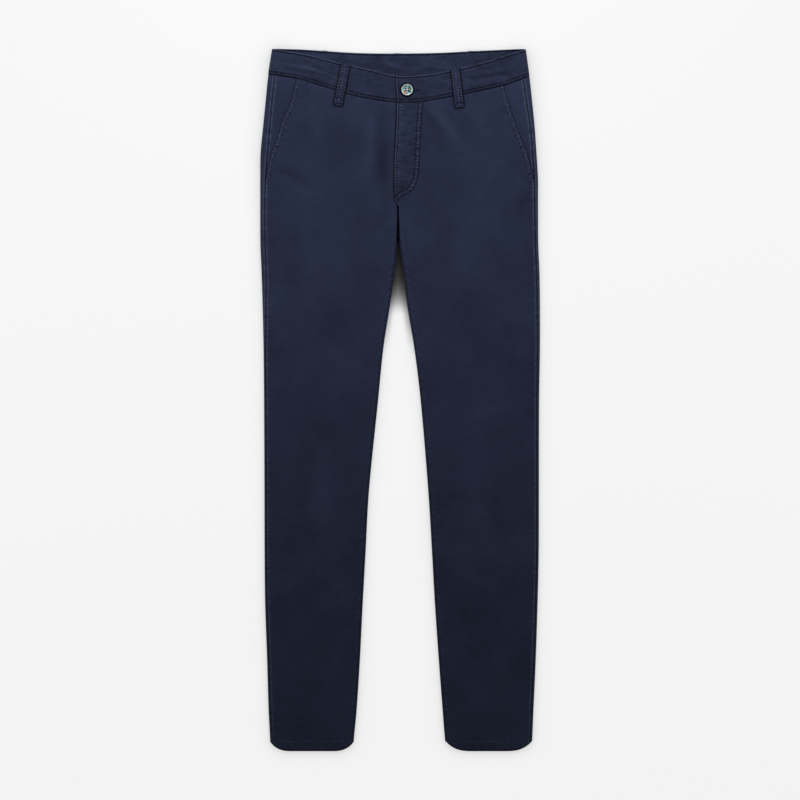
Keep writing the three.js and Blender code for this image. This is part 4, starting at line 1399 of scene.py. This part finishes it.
# Studio: even pale glowing paper, with painted shade near the cloth and a painted shadow between the legs
PAPER_GLOW = 0.87
PAPER_BELOW = 0.5
KEY_POWER = 20.6
KEY_COLOUR = (0.94, 0.99, 1.13)
SIDE_COLOUR = (0.93, 0.97, 1.05)
AIR_COLOUR = (1, 0.94, 0.84, 1)
AIR_STRENGTH = 0.22


def add_floor():
    bpy.ops.object.select_all(action="DESELECT")
    bpy.ops.mesh.primitive_plane_add(size=14, location=(0, 0, -PAPER_BELOW * MM))
    floor = bpy.context.object
    floor.name = "studio_floor"
    shade = Shade("studio_paper")
    # painted contact shade: the glow is dimmed where ambient occlusion finds cloth nearby
    near = shade.node("AmbientOcclusion", {"samples": 8}, Distance=0.03)
    contact_shade_factor = shade.add(0.45, shade.times(near.outputs["AO"], 0.55))
    split = shade.node("SeparateXYZ", Vector=shade.node("TexCoord").outputs["Object"])
    # painted shadow in the gap between the legs, darker towards the crotch
    ahead = split.outputs[1]
    between_legs = shade.step(0.06, 0.04, shade.math("ABSOLUTE", split.outputs[0]))
    in_gap = shade.times(between_legs, shade.step(0.36, 0.32, ahead))
    deeper = shade.times(-10.4, shade.math("MAXIMUM", shade.math("SUBTRACT", ahead, 0.18), 0.0))
    power = shade.add(shade.times(-1.13, shade.step(0.132, 0.195, ahead)), deeper,
                      shade.times(-1.2, shade.step(0.246, 0.256, ahead)))
    gap_shadow_factor = shade.math("POWER", 10.0, shade.times(in_gap, power))
    # painted shadow on the paper beside each leg, reaching further beside the left leg
    left_edge = shade.add(0.033, shade.times(ahead, -0.138))
    right_edge = shade.add(0.0362, shade.times(ahead, -0.134))
    by_left = shade.step(0.014, 0.0, shade.math("SUBTRACT", left_edge, split.outputs[0]))
    by_right = shade.step(0.010, 0.0, shade.add(right_edge, split.outputs[0]))
    beside = shade.math("MAXIMUM", shade.times(by_left, 0.55), shade.times(by_right, 0.38))
    beside = shade.times(beside, shade.step(0.06, 0.14, ahead), in_gap)
    painted_shadow_factor = shade.times(gap_shadow_factor, shade.math("SUBTRACT", 1.0, beside))
    shade.put(shade.surface.inputs["Base Color"],
              shade.tint(painted_shadow_factor, (0.001, 0.001, 0.001, 1), (0.05, 0.05, 0.05, 1)))
    shade.surface.inputs["Roughness"].default_value = 1
    shade.surface.inputs["Specular IOR Level"].default_value = 0
    shade.surface.inputs["Emission Color"].default_value = (1, 1, 1, 1)
    shade.put(shade.surface.inputs["Emission Strength"], shade.times(PAPER_GLOW, contact_shade_factor, painted_shadow_factor))
    floor.data.materials.append(shade.material)


def add_area_light(name, place, target, size_x, size_y, power, colour):
    data = bpy.data.lights.new(name, "AREA")
    data.shape = "RECTANGLE"
    data.size = size_x
    data.size_y = size_y
    data.energy = power
    data.color = colour
    lamp = bpy.data.objects.new(name, data)
    lamp.location = place
    lamp.visible_camera = False
    lamp.rotation_euler = (Vector(target) - Vector(place)).to_track_quat("-Z", "Y").to_euler()
    bpy.context.collection.objects.link(lamp)


add_floor()
add_area_light("key_light", (-0.05, 1.22, 0.85), (0, 0.3, 0), 0.7, 0.4, KEY_POWER, KEY_COLOUR)
for name, side_x, power in (("side_light_right", -1.3, 8.2), ("side_light_left", 1.3, 7.0)):
    add_area_light(name, (side_x, 0.15, 0.22), (0, 0.1, 0), 0.25, 1.6, power, SIDE_COLOUR)
world = bpy.data.worlds.new("studio_air")
world.use_nodes = True
air = world.node_tree.nodes["Background"]
air.inputs["Color"].default_value = AIR_COLOUR
air.inputs["Strength"].default_value = AIR_STRENGTH
bpy.context.scene.world = world
bpy.context.scene.view_settings.view_transform = "Standard"
